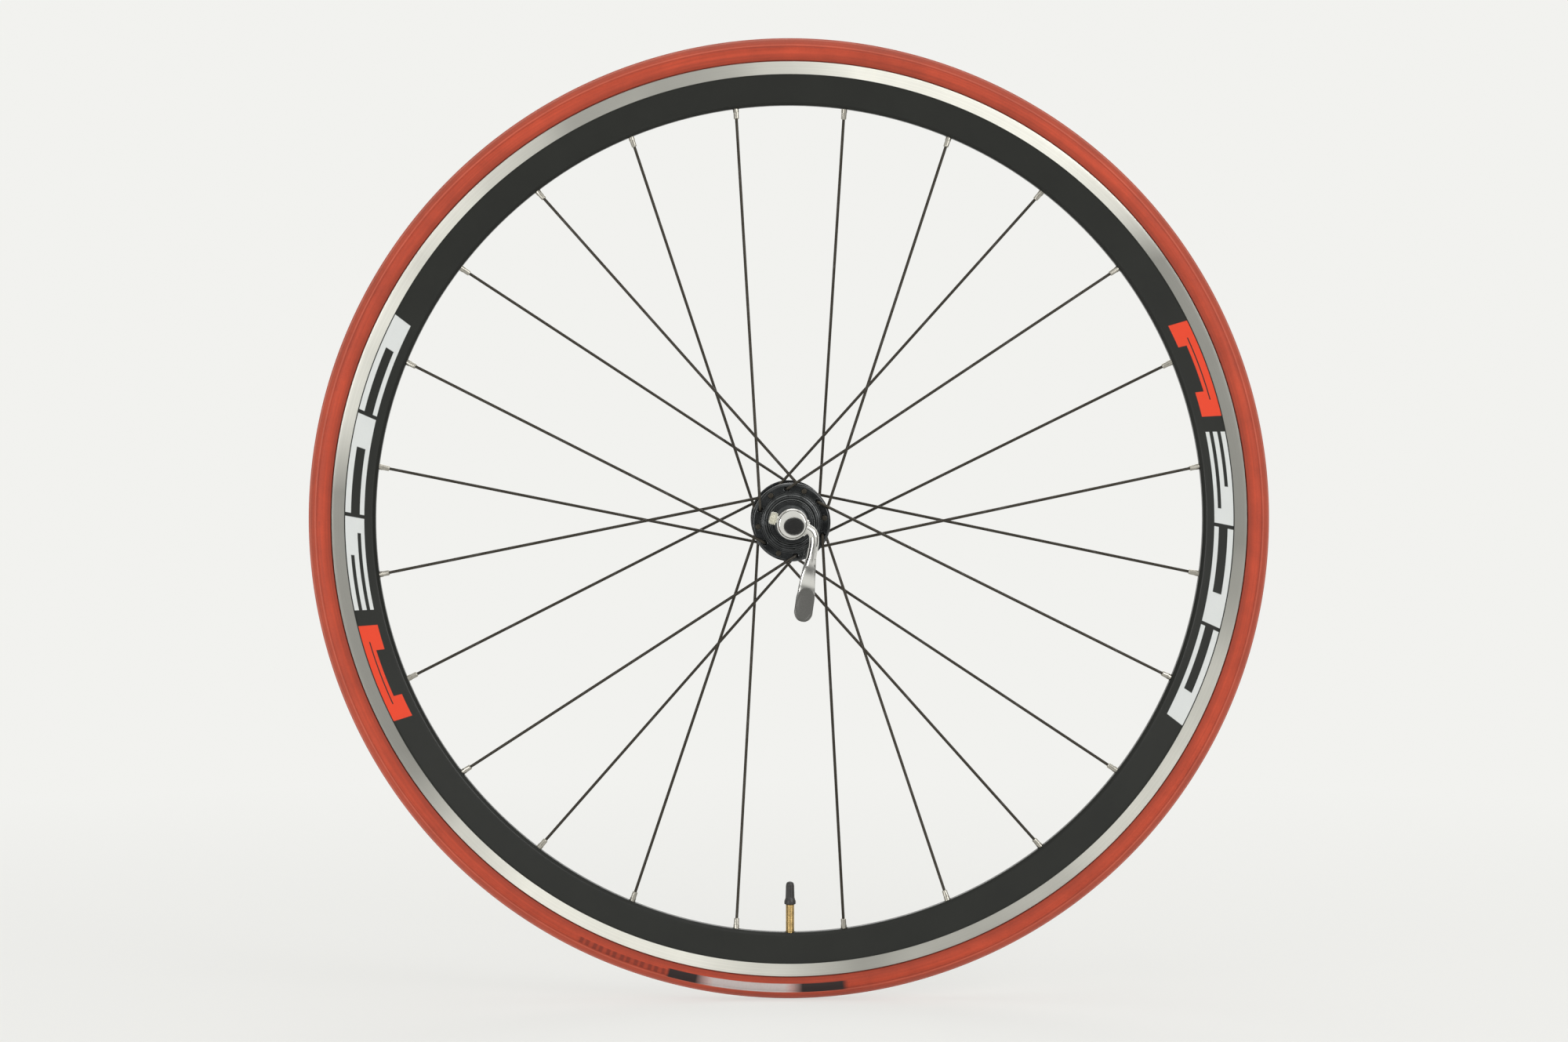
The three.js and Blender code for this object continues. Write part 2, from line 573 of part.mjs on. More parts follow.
// ---------------------------------------------------------------- skewer: rod and eye
const clampFace = locknutFace + FORK_END_THICKNESS;
const pivotY = -(clampFace + CAM_DEPTH);
const camSlotHalfY = CAM_RADIUS + RUNNING_GAP;
const camSlotHalfZ = CAM_RADIUS + CAM_THROW + RUNNING_GAP;
const eyeY = pivotY - CAM_THROW;
const eyeHalfY = camSlotHalfY + EYE_WALL;
const eyeHalfZ = camSlotHalfZ + EYE_WALL;
const rodEnd = clampFace + NUT_LENGTH - 1;
const eye = box(-EYE_WIDTH / 2, EYE_WIDTH / 2, eyeY - eyeHalfY, eyeY + eyeHalfY, -eyeHalfZ, eyeHalfZ);
const eyeSlotLow = eyeY - camSlotHalfY;
const eyeSlotHigh = eyeY + camSlotHalfY;
const eyeSlot = box(-EYE_WIDTH, EYE_WIDTH, eyeSlotLow, eyeSlotHigh, -camSlotHalfZ, camSlotHalfZ);
const rodStart = new THREE.Vector3(0, eyeY + eyeHalfY - 1, 0);
const rodBar = bar(ROD_RADIUS, rodStart, new THREE.Vector3(0, rodEnd, 0), SMALL_FACETS);
const rod = rodBar.add(eye.subtract(eyeSlot));
addPiece(skewer, 'skewer_rod', rod, 'steel');

// ---------------------------------------------------------------- skewer: cam housing
const chamberRadius = Math.hypot(EYE_WIDTH / 2, eyeHalfZ) + RUNNING_GAP;
const housingEnd = clampFace + HOUSING_LENGTH;
const housingOutline = [
  at(0, -clampFace),
  at(HOUSING_RADIUS - 0.6, -clampFace),
  at(HOUSING_RADIUS, -clampFace - 0.6),
  at(HOUSING_RADIUS, -housingEnd + 2.2),
  at(HOUSING_RADIUS - 0.7, -housingEnd + 1),
  at(HOUSING_RADIUS - 2.4, -housingEnd + 0.4),
  at(HOUSING_RADIUS - 4.2, -housingEnd),
  at(0, -housingEnd),
];
const chamberStart = clampFace + SPRING_POCKET_DEPTH;
const chamberEnd = -(eyeY - eyeHalfY) + RUNNING_GAP;
const pocketRadius = SPRING_WIDE_RADIUS + SPRING_WIRE + RUNNING_GAP;
const bore = (radius, low, high) =>
  bar(radius, new THREE.Vector3(0, low, 0), new THREE.Vector3(0, high, 0), BORE_FACETS);
const chamberCut = bore(chamberRadius, -chamberEnd, -chamberStart + 1);
const pocketCut = bore(pocketRadius, -chamberStart, -clampFace + 1);
const across = (radius, low, high, y, z, facets) =>
  bar(radius, new THREE.Vector3(low, y, z), new THREE.Vector3(high, y, z), facets);
const journalHole = across(CAM_JOURNAL_RADIUS + RUNNING_GAP, 0, HOUSING_RADIUS + 1, pivotY, 0, BORE_FACETS);
const tailHole = across(CAM_TAIL_RADIUS + RUNNING_GAP, -HOUSING_RADIUS - 1, 0, pivotY, 0, SMALL_FACETS);
const housingBody = solidOf(new THREE.LatheGeometry(housingOutline, HUB_FACETS));
const housing = cutFrom(housingBody, [chamberCut, pocketCut, journalHole, tailHole]);
addPiece(skewer, 'lever_housing', housing, 'chrome');

// ---------------------------------------------------------------- skewer: lever with its cam shaft
const journalInnerEnd = EYE_WIDTH / 2 + 0.6;
const tailEnd = -(HOUSING_RADIUS + CAM_END_LENGTH - 1);
const armRoute = new THREE.CatmullRomCurve3([
  new THREE.Vector3(HOUSING_RADIUS - 4, pivotY, 0),
  new THREE.Vector3(HOUSING_RADIUS + 1, pivotY, -0.2),
  new THREE.Vector3(LEVER_OFFSET - 2.6, pivotY, -2.2),
  new THREE.Vector3(LEVER_OFFSET - 0.4, pivotY, -7),
  new THREE.Vector3(LEVER_OFFSET + 0.6, pivotY, -14),
  new THREE.Vector3(LEVER_OFFSET + 1.6, pivotY + 0.3, -22),
]);
const armSection = new THREE.Shape();
armSection.absarc(0, 0, LEVER_ARM_RADIUS, 0, 2 * Math.PI);
const armOptions = { steps: 12, curveSegments: 5, extrudePath: armRoute };
const arm = solidOf(new THREE.ExtrudeGeometry(armSection, armOptions));

// The paddle seen from the front: the arm widens to a rounded tip.
const paddleTop = -18;
const tipMiddleZ = -(LEVER_REACH - PADDLE_WIDTH / 2);
const paddleTopX = LEVER_OFFSET + 1.1;
const paddleTipX = LEVER_OFFSET + LEVER_SPLAY - 1;
function paddleEdge(side, share) {
  const middleX = THREE.MathUtils.lerp(paddleTopX, paddleTipX, share);
  const spread = Math.min(1, share * PADDLE_FLARE) ** 0.8;
  const halfWidth = THREE.MathUtils.lerp(LEVER_ARM_RADIUS, PADDLE_WIDTH / 2, spread);
  return new THREE.Vector2(middleX + side * halfWidth, THREE.MathUtils.lerp(paddleTop, tipMiddleZ, share));
}
const paddleFace = new THREE.Shape();
const edgeShares = [0, 0.25, 0.5, 0.75, 1];
paddleFace.moveTo(paddleEdge(-1, 0).x, paddleEdge(-1, 0).y);
edgeShares.slice(1).forEach((share) => paddleFace.lineTo(paddleEdge(-1, share).x, paddleEdge(-1, share).y));
paddleFace.absarc(paddleTipX, tipMiddleZ, PADDLE_WIDTH / 2, Math.PI, 2 * Math.PI, false);
edgeShares.slice(0, -1).reverse().forEach((share) => {
  paddleFace.lineTo(paddleEdge(1, share).x, paddleEdge(1, share).y);
});
// The paddle seen from the side: a band that bends towards the wheel.
function bandPoint(offset, share) {
  const thickness = THREE.MathUtils.lerp(LEVER_ARM_RADIUS * 1.8, PADDLE_THICKNESS, Math.min(1, 2 * share));
  const z = THREE.MathUtils.lerp(paddleTop + 1, -LEVER_REACH - 1, share);
  return new THREE.Vector2(pivotY + PADDLE_DISH * share ** 1.6 + offset * thickness, z);
}
const bandShares = [0, 0.2, 0.4, 0.6, 0.8, 1];
const band = new THREE.Shape([
  ...bandShares.map((share) => bandPoint(-0.5, share)),
  ...bandShares.map((share) => bandPoint(0.5, share)).reverse(),
]);
// The face outline is drawn in X and Z, and the band in Y and Z; each is pushed through the other.
const faceBlock = new THREE.ExtrudeGeometry(paddleFace, { depth: 40, curveSegments: 8, bevelEnabled: false });
faceBlock.rotateX(Math.PI / 2).translate(0, pivotY + 20, 0);
const bandBlock = new THREE.ExtrudeGeometry(band, { depth: 60, bevelEnabled: false });
bandBlock.applyMatrix4(new THREE.Matrix4().set(0, 0, 1, -10, 1, 0, 0, 0, 0, 1, 0, 0, 0, 0, 0, 1));
const paddle = solidOf(faceBlock).intersect(solidOf(bandBlock));

const lever = joined([
  across(CAM_JOURNAL_RADIUS, journalInnerEnd, HOUSING_RADIUS + 0.6, pivotY, 0, BORE_FACETS),
  across(CAM_RADIUS, -journalInnerEnd, journalInnerEnd + 1, pivotY - CAM_THROW, 0, BORE_FACETS),
  across(CAM_TAIL_RADIUS, tailEnd, 0, pivotY, 0, SMALL_FACETS),
  arm,
  paddle,
]);
addPiece(skewer, 'cam_lever', lever, 'chrome');

const camEndStart = -HOUSING_RADIUS - SEAT_GAP;
const camEnd = cutFrom(
  across(CAM_END_RADIUS, camEndStart - CAM_END_LENGTH, camEndStart, pivotY, 0, SMALL_FACETS),
  [across(CAM_TAIL_RADIUS + SEAT_GAP, tailEnd - SEAT_GAP, camEndStart + 1, pivotY, 0, SMALL_FACETS)],
);
addPiece(skewer, 'cam_end_cap', camEnd, 'clearPlastic');

// ---------------------------------------------------------------- skewer: nut with its face ring and insert
const nutHoleRadius = ROD_RADIUS + RUNNING_GAP;
const nutRingFace = clampFace;
const nutRingBack = nutRingFace + NUT_RING_THICKNESS;
const nutFace = nutRingBack + SEAT_GAP;
const nutEnd = clampFace + NUT_LENGTH;
const springPocketEnd = clampFace + SPRING_POCKET_DEPTH;
const nutOutline = [
  at(pocketRadius, nutFace),
  at(NUT_RADIUS, nutFace),
  at(NUT_RADIUS, nutFace + 4),
  at(NUT_RADIUS - 2, nutEnd - 1.2),
  at(NUT_RADIUS - 3.2, nutEnd),
  at(nutHoleRadius + INSERT_WALL, nutEnd),
  at(nutHoleRadius + INSERT_WALL, nutEnd - INSERT_LENGTH),
  at(nutHoleRadius, nutEnd - INSERT_LENGTH),
  at(nutHoleRadius, springPocketEnd),
  at(pocketRadius, springPocketEnd),
];
addPiece(skewer, 'skewer_nut', ring(nutOutline, HUB_FACETS), 'aluminium');
const nutRing = sleeve(pocketRadius, NUT_RADIUS, nutRingFace, nutRingBack, HUB_FACETS);
addPiece(skewer, 'nut_face_ring', nutRing, 'steel');
const insertBack = nutEnd - INSERT_LENGTH + SEAT_GAP;
const insert = sleeve(nutHoleRadius, nutHoleRadius + INSERT_WALL - SEAT_GAP, insertBack, nutEnd, HUB_FACETS);
addPiece(skewer, 'nut_lock_insert', insert, 'blackPlastic');

// ---------------------------------------------------------------- skewer: conical springs
// A wire wound from the axle's end, where it is narrow, to the bottom of the pocket, where it is wide.
class ConicalHelix extends THREE.Curve {
  constructor(startY, endY, startRadius, endRadius, turns) {
    super();
    Object.assign(this, { startY, endY, startRadius, endRadius, turns });
  }

  getPoint(share, target = new THREE.Vector3()) {
    const radius = THREE.MathUtils.lerp(this.startRadius, this.endRadius, share);
    const angle = share * this.turns * 2 * Math.PI;
    const y = THREE.MathUtils.lerp(this.startY, this.endY, share);
    return target.set(radius * Math.cos(angle), y, radius * Math.sin(angle));
  }
}

function spring(side) {
  const startY = side * (axleEnd + SEAT_GAP + SPRING_WIRE);
  const endY = side * (springPocketEnd - SEAT_GAP - SPRING_WIRE);
  const narrow = ROD_RADIUS + SPRING_WIRE + RUNNING_GAP;
  const helix = new ConicalHelix(startY, endY, narrow, SPRING_WIDE_RADIUS, SPRING_TURNS);
  const wire = new THREE.Shape();
  wire.absarc(0, 0, SPRING_WIRE, 0, 2 * Math.PI);
  const settings = { steps: SPRING_TURNS * 9, curveSegments: 3, extrudePath: helix };
  return solidOf(new THREE.ExtrudeGeometry(wire, settings));
}

addPiece(skewer, 'spring_front', spring(-1), 'steel');
addPiece(skewer, 'spring_rear', spring(1), 'steel');

export default object;
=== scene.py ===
import math

import bmesh
import bpy
import numpy as np
from bpy.props import FloatProperty, FloatVectorProperty, IntProperty, PointerProperty
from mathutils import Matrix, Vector


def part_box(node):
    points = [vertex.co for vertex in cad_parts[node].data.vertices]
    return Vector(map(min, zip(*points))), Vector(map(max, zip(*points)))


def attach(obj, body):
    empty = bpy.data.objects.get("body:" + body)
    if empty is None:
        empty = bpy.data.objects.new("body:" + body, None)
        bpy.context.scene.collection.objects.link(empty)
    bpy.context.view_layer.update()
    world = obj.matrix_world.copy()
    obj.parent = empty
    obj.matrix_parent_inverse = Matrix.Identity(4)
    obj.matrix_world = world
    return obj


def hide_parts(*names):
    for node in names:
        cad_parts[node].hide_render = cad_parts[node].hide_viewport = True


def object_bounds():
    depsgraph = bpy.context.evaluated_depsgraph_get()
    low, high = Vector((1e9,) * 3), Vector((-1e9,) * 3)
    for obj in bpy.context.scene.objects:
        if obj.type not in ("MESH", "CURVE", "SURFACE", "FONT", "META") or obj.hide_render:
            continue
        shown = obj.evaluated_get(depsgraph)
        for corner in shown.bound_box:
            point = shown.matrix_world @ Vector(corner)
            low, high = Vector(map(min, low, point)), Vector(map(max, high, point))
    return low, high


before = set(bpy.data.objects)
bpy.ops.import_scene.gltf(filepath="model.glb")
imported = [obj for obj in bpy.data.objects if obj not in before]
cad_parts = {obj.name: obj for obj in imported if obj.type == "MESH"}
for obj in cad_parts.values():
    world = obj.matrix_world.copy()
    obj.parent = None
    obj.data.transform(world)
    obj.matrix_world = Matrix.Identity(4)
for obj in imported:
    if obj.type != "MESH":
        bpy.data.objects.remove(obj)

bl_info = {
    "name": "Quick-release front wheel",
    "version": (1, 0, 0),
    "blender": (4, 5, 0),
    "location": "3D View > Sidebar > Front Wheel",
    "description": "Builds the visible surfaces of a quick-release bicycle front wheel round its CAD frame",
    "category": "Object",
}

# Shapes are worked out in millimetres and stored in metres. The origin is the wheel's centre, +Y runs
# along the axle away from the lever and +Z is up.
MM = 0.001
TURN = 2 * math.pi
DEGREES = 180 / math.pi
CAD_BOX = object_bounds()
SIDES = {"front": -1, "rear": 1}

# The wheel's own sizes, as in the CAD part: radii from the axle and distances along it.
CROWN_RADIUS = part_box("tyre")[1].z / MM
RIM_EDGE, RIM_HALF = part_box("rim")[1].z / MM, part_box("rim")[1].y / MM
BEAD_SEAT = RIM_EDGE - 6
TRACK_FOOT = RIM_EDGE - 9
SPOKE_BED = RIM_EDGE - 30
INNER_WALL = 2.3
WELL_FLOOR = BEAD_SEAT - 4
FLANGE_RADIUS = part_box("hub_shell")[1].z / MM
FLANGE_OUTER = 36.5
FLANGE_INNER = 33.5
SPOKE_CIRCLE = 23.0
SPOKE_COUNT = 24
NIPPLE_REACH = 7.0
PIVOT_Y = -66.0
SKEWER_TILT = math.radians(17)
VALVE_ANGLE = -90.0


# ---------------------------------------------------------------- settings
def length_setting(name, description, default):
    """A size in metres."""
    return FloatProperty(name=name, description=description, default=default, unit="LENGTH")


def angle_setting(name, description, default):
    """An angle, given here in degrees."""
    return FloatProperty(name=name, description=description, default=math.radians(default), subtype="ANGLE")


def colour_setting(name, description, default):
    """A colour of three linear shares."""
    return FloatVectorProperty(name=name, description=description, default=default, subtype="COLOR", size=3)


class FrontWheelSizes(bpy.types.PropertyGroup):
    tyre_width: length_setting("Tyre width", "Width of the inflated tyre", 0.023)
    groove_depth: length_setting("Tread line depth", "Depth of the fine lines round the tread", 0.00028)
    spoke_diameter: length_setting("Spoke diameter", "Diameter of the spoke wire", 0.002)
    nipple_diameter: length_setting("Nipple diameter", "Diameter of a nipple's body", 0.0041)
    nipple_seat: length_setting(
        "Nipple seat depth", "Depth of the recess round each nipple in the spoke bed", 0.0012)
    face_crown: length_setting(
        "Skewer head crown", "Radius of the slight dome on the skewer head's face", 0.120)
    cap_ribs: IntProperty(
        name="Valve cap ribs", description="Number of grip ribs round the valve cap", default=14, min=3)
    nut_flutes: IntProperty(
        name="Nut flutes", description="Number of finger grooves round the skewer nut", default=9, min=3)


class FrontWheelColours(bpy.types.PropertyGroup):
    tyre: colour_setting("Tyre", "Rubber of the tyre", (0.47, 0.062, 0.027))
    paint: colour_setting("Rim paint", "Paint on the rim's flanks", (0.0085, 0.0092, 0.0075))
    track: colour_setting("Brake track", "Machined metal of the brake track", (0.84, 0.83, 0.76))
    white_panel: colour_setting("White panels", "Pale panels printed on the rim", (0.66, 0.68, 0.67))
    red_panel: colour_setting("Red panels", "Red panels printed on the rim", (0.74, 0.055, 0.018))
    hub: colour_setting("Hub", "Black finish of the hub shell", (0.026, 0.028, 0.029))
    spoke: colour_setting("Spokes", "Black finish of the spokes", (0.036, 0.031, 0.023))
    chrome: colour_setting("Chrome", "Polished skewer head and lever", (0.78, 0.775, 0.74))
    brass: colour_setting("Brass", "Valve stem, pin and nut", (0.52, 0.36, 0.15))


class FrontWheelStage(bpy.types.PropertyGroup):
    azimuth: angle_setting("Azimuth", "Camera's angle round the wheel", -1.2)
    elevation: angle_setting("Elevation", "Camera's height above the axle as an angle", 2.2)
    distance: length_setting("Distance", "From the camera to the wheel", 2.8)
    view_width: length_setting("View width", "Width of the view at the wheel", 1.089)
    backdrop: colour_setting("Backdrop", "Colour of the floor and the backdrop", (0.887, 0.887, 0.862))


# ---------------------------------------------------------------- outlines and surfaces
# Millimetres under which points of an outline count as one, as a station on a line, and as its start.
SAME_POINT = 1e-4
SAME_STATION = 0.02
SAME_START = 0.03
LONGEST_FILLET = 0.48
# Metres under which points of neighbouring faces are joined.
MERGE_DISTANCE = 1e-6


def rounded(corners, fillets, steps=5, closed=True):
    """An outline whose corners are eased. At each corner the curve leaves one side a fillet before the
    corner and joins the other a fillet after it, as a parabola with the corner as its middle control
    point. A fillet takes up no more than LONGEST_FILLET of either side."""
    corners = np.asarray(corners, float)
    fillets = np.broadcast_to(np.asarray(fillets, float), (len(corners),))

    def cut(side):
        length = np.maximum(np.linalg.norm(side, axis=1), 1e-9)
        return corners + side * (np.minimum(fillets, LONGEST_FILLET * length) / length)[:, None]

    start = cut(np.roll(corners, 1, 0) - corners)[:, None]
    end = cut(np.roll(corners, -1, 0) - corners)[:, None]
    t = np.linspace(0, 1, steps)[None, :, None]
    curve = (1 - t) ** 2 * start + 2 * t * (1 - t) * corners[:, None] + t ** 2 * end
    if not closed:
        curve[0], curve[-1] = corners[0], corners[-1]
    curve = curve.reshape(-1, 2)
    apart = np.linalg.norm(curve - np.roll(curve, 1, 0), axis=1) > SAME_POINT
    if not closed:
        apart[0] = True
    return curve[apart]


def eased(corners, steps=5, closed=True):
    """rounded, for corners that each carry their fillet as a third number."""
    corners = np.asarray(corners, float)
    return rounded(corners[:, :2], corners[:, 2], steps, closed)


def divided(outline, step, closed=True):
    """The same outline with points added, so that neighbours are never further apart than step."""
    line = np.vstack([outline, outline[:1]]) if closed else np.asarray(outline, float)
    along = np.concatenate([[0], np.cumsum(np.linalg.norm(np.diff(line, axis=0), axis=1))])
    stations = np.unique(np.concatenate([along, np.arange(step, along[-1], step)]))
    stations = stations[np.concatenate([[True], np.diff(stations) > SAME_STATION])]
    points = np.column_stack([np.interp(stations, along, line[:, k]) for k in range(line.shape[1])])
    return points[:-1] if closed and np.linalg.norm(points[-1] - points[0]) < SAME_START else points


def mirrored(half):
    """One side of an outline of (radius, y) points, followed by its mirror image back to the start."""
    half = np.asarray(half, float)
    return np.vstack([half, half[::-1] * [1, -1]])


def smooth_path(points, count):
    """A curve through points: between two of them a cubic whose slopes there are half the chord between
    the neighbours on each side."""
    points = np.asarray(points, float)
    padded = np.vstack([2 * points[0] - points[1], points, 2 * points[-1] - points[-2]])
    place = np.linspace(0, len(points) - 1, count)
    span = np.minimum(place.astype(int), len(points) - 2)
    t = (place - span)[:, None]
    a, b, c, d = (padded[span + k] for k in range(4))
    square, cube = 2 * a - 5 * b + 4 * c - d, 3 * b - a - 3 * c + d
    return 0.5 * (2 * b + (c - a) * t + square * t ** 2 + cube * t ** 3)


def grid_faces(rows, columns, wrap_rows, wrap_columns):
    """Four-sided faces between neighbouring points of a grid, as rows of point numbers."""
    first_rows, first_columns = np.arange(rows - (not wrap_rows)), np.arange(columns - (not wrap_columns))
    r, c = np.meshgrid(first_rows, first_columns, indexing="ij")
    below, right = (r + 1) % rows, (c + 1) % columns
    corners = [r * columns + c, r * columns + right, below * columns + right, below * columns + c]
    return np.stack(corners, -1).reshape(-1, 4)


def shell_of(grid, wrap_rows=True, wrap_columns=True, hollow=False):
    """A closed surface from a grid of points (rows, columns, 3). Its faces point away from what it
    encloses, or into it for the wall of a hollow: the sign of the enclosed volume says which way they run."""
    rows, columns = grid.shape[:2]
    points, faces = grid.reshape(-1, 3), grid_faces(rows, columns, wrap_rows, wrap_columns)
    a, b, c, d = (points[faces[:, k]] for k in range(4))
    volume = np.einsum("ij,ij->", a, np.cross(b, c)) + np.einsum("ij,ij->", a, np.cross(c, d))
    if (volume < 0) != hollow:
        faces = faces[:, ::-1]
    return points, faces


def revolved(profile, segments=96, change=None, angles=None, closed=True, hollow=False):
    """A profile of (radius, y) points carried round the Y axis: x = radius cos a, z = radius sin a.
    change(a, radius, y) may return another radius and y for every point, for flats, ribs or threads."""
    profile = np.asarray(profile, float)
    if angles is None:
        angles = np.linspace(0, TURN, segments, endpoint=False)
    a, r = np.meshgrid(angles, profile[:, 0], indexing="ij")
    y = np.broadcast_to(profile[:, 1], a.shape)
    if change:
        r, y = change(a, r, y)
    return shell_of(np.stack([r * np.cos(a), y, r * np.sin(a)], -1), True, closed, hollow)


def laid(shell, origin, axis, across=(1, 0, 0)):
    """A shell made round the Y axis, moved so that its Y axis lies along axis from origin and its X axis
    as near to across as it can."""
    points, faces = shell
    axis = np.asarray(axis, float) / np.linalg.norm(axis)
    across = np.asarray(across, float) - axis * np.dot(across, axis)
    across /= np.linalg.norm(across)
    basis = np.stack([across, axis, np.cross(across, axis)])
    return points @ basis + np.asarray(origin, float), faces


def swept(path, half_width, half_depth, side, segments=12, squareness=1.0):
    """A section carried along a path: at each point an oval of the given half sizes, its width along
    side and its depth across both side and the path. A squareness below 1 fills the oval's corners out:
    each cosine and sine is raised to that power. Each end is closed to a point on the path."""
    ahead = np.gradient(path, axis=0)
    ahead /= np.linalg.norm(ahead, axis=1, keepdims=True)
    side = np.broadcast_to(np.asarray(side, float), path.shape)
    side = side - ahead * np.einsum("ij,ij->i", side, ahead)[:, None]
    side /= np.linalg.norm(side, axis=1, keepdims=True)
    up = np.cross(ahead, side)
    a = np.linspace(0, TURN, segments, endpoint=False)[None, :]

    def reach(wave, half_size):
        power, half_size = (np.broadcast_to(v, (len(path),))[:, None] for v in (squareness, half_size))
        return (np.sign(wave) * np.abs(wave) ** power * half_size)[..., None]

    wide, deep = reach(np.cos(a), half_width), reach(np.sin(a), half_depth)
    grid = path[:, None] + wide * side[:, None] + deep * up[:, None]
    ends = np.broadcast_to(path[[0, -1], None], (2, segments, 3))
    return shell_of(np.concatenate([ends[:1], grid, ends[1:]]), False, True)


def tilted(points):
    """Points of the skewer's own frame, turned about the axle to where the skewer stands."""
    x, y, z = points[..., 0], points[..., 1], points[..., 2]
    c, s = math.cos(SKEWER_TILT), math.sin(SKEWER_TILT)
    return np.stack([x * c + z * s, y, z * c - x * s], -1)


def wheel_point(radius, degrees, y):
    """A point of the wheel from its radius and its angle, counted from +X towards +Z."""
    angle = np.radians(degrees)
    return np.array([radius * np.cos(angle), y, radius * np.sin(angle)])


def ease(value, start, end):
    """A smooth rise from 0 at start to 1 at end: three times the square of the share less twice its cube."""
    t = np.clip((value - start) / (end - start), 0, 1)
    return t * t * (3 - 2 * t)


def bell(value, middle, half):
    """1 at the middle, falling off to both sides: e to the minus square of the distance over half."""
    return np.exp(-((value - middle) / half) ** 2)


def threaded(pitch, depth, low, high, beyond):
    """A change for revolved: a screw thread between two heights, on points whose radius is more than
    beyond. The radius drops by depth times a triangle wave of height over pitch less angle over a
    whole turn."""
    def change(a, r, y):
        phase = (y / pitch - a / TURN) % 1
        wave = 1 - np.abs(2 * phase - 1)
        inside = ease(y, low, low + pitch) * (1 - ease(y, high - pitch, high))
        return r - depth * wave * inside * (r > beyond), y
    return change


def fluted(count, depth, low, high, beyond, soft):
    """A change for revolved: evenly spaced grooves between two heights, which fade in over soft on each
    side of them, on points whose radius is more than beyond. The radius drops by depth times the three
    halves power of a cosine wave, raised to run from 0 to 1, of count times the angle."""
    def change(a, r, y):
        wave = (0.5 + 0.5 * np.cos(count * a)) ** 1.5
        inside = ease(y, low - soft, low + soft) * (1 - ease(y, high - soft, high + soft))
        return r - depth * wave * inside * (r > beyond), y
    return change


def linked(name, data):
    """A new object in the scene."""
    made = bpy.data.objects.new(name, data)
    bpy.context.scene.collection.objects.link(made)
    return made


def add_piece(name, shells, body, slot, replaces=(), sharp=32, marks=None, finish=None):
    """Makes one object from closed shells in millimetres and hangs it on its CAD body. Its finish is
    that of its slot unless another is named. Edges bent by more than sharp degrees stay sharp."""
    counts = np.cumsum([0] + [len(points) for points, _ in shells])
    points = np.concatenate([points for points, _ in shells]) * MM
    faces = np.concatenate([faces + start for (_, faces), start in zip(shells, counts)])
    mesh = bpy.data.meshes.new(name)
    mesh.from_pydata(points, [], faces)
    if marks is not None:
        mesh.attributes.new("mark", "FLOAT", "POINT").data.foreach_set("value", marks.astype(np.float32))
    work = bmesh.new()
    work.from_mesh(mesh)
    bmesh.ops.remove_doubles(work, verts=work.verts, dist=MERGE_DISTANCE)
    work.to_mesh(mesh)
    work.free()
    mesh.shade_smooth()
    mesh.set_sharp_from_angle(angle=math.radians(sharp))
    mesh.materials.append(finishes()[finish or slot])
    piece = linked(name, mesh)
    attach(piece, body)
    if replaces:
        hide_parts(*replaces)


# ---------------------------------------------------------------- materials
def maths(operation, swapped=False):
    """A method of Value that adds a Math node; swapped puts the value itself second."""
    def apply(value, *others):
        return value.shading.math(operation, *((*others, value) if swapped else (value, *others)))
    return apply


class Value:
    """A number in a material. Python's operators on it add Math nodes; | is the larger of the two."""

    def __init__(self, shading, socket):
        self.shading, self.socket = shading, socket

    __add__ = __radd__ = maths("ADD")
    __sub__, __rsub__ = maths("SUBTRACT"), maths("SUBTRACT", swapped=True)
    __mul__ = __rmul__ = maths("MULTIPLY")
    __pow__ = maths("POWER")
    __mod__ = maths("FLOORED_MODULO")
    __or__ = maths("MAXIMUM")
    __abs__ = maths("ABSOLUTE")


class Shading:
    """A node tree and the nodes that are added to it."""

    def __init__(self, tree):
        self.tree = tree

    def node(self, kind, settings=None, inputs=None, output=0):
        """Adds a node: its settings first, then the values or links of its sockets."""
        made = self.tree.nodes.new(kind)
        for key, value in (settings or {}).items():
            setattr(made, key, value)
        for key, value in (inputs or {}).items():
            self.feed(made.inputs[key], value)
        return Value(self, made.outputs[output])

    def feed(self, socket, value):
        """Links a value to a socket, or writes a plain one on it."""
        if isinstance(value, Value):
            self.tree.links.new(value.socket, socket)
        elif socket.type == "RGBA" and len(value) == 3:
            socket.default_value = (*value, 1)
        else:
            socket.default_value = value

    def math(self, operation, *values):
        """A Math node."""
        return self.node("ShaderNodeMath", {"operation": operation}, dict(enumerate(values)))

    def direct_rays(self):
        """1 on the way from the camera, from gloss and through glass, and 0 on every other ray."""
        camera, gloss, glass = (self.node("ShaderNodeLightPath", output=f"Is {ray} Ray")
                                for ray in ("Camera", "Glossy", "Transmission"))
        return camera | gloss | glass


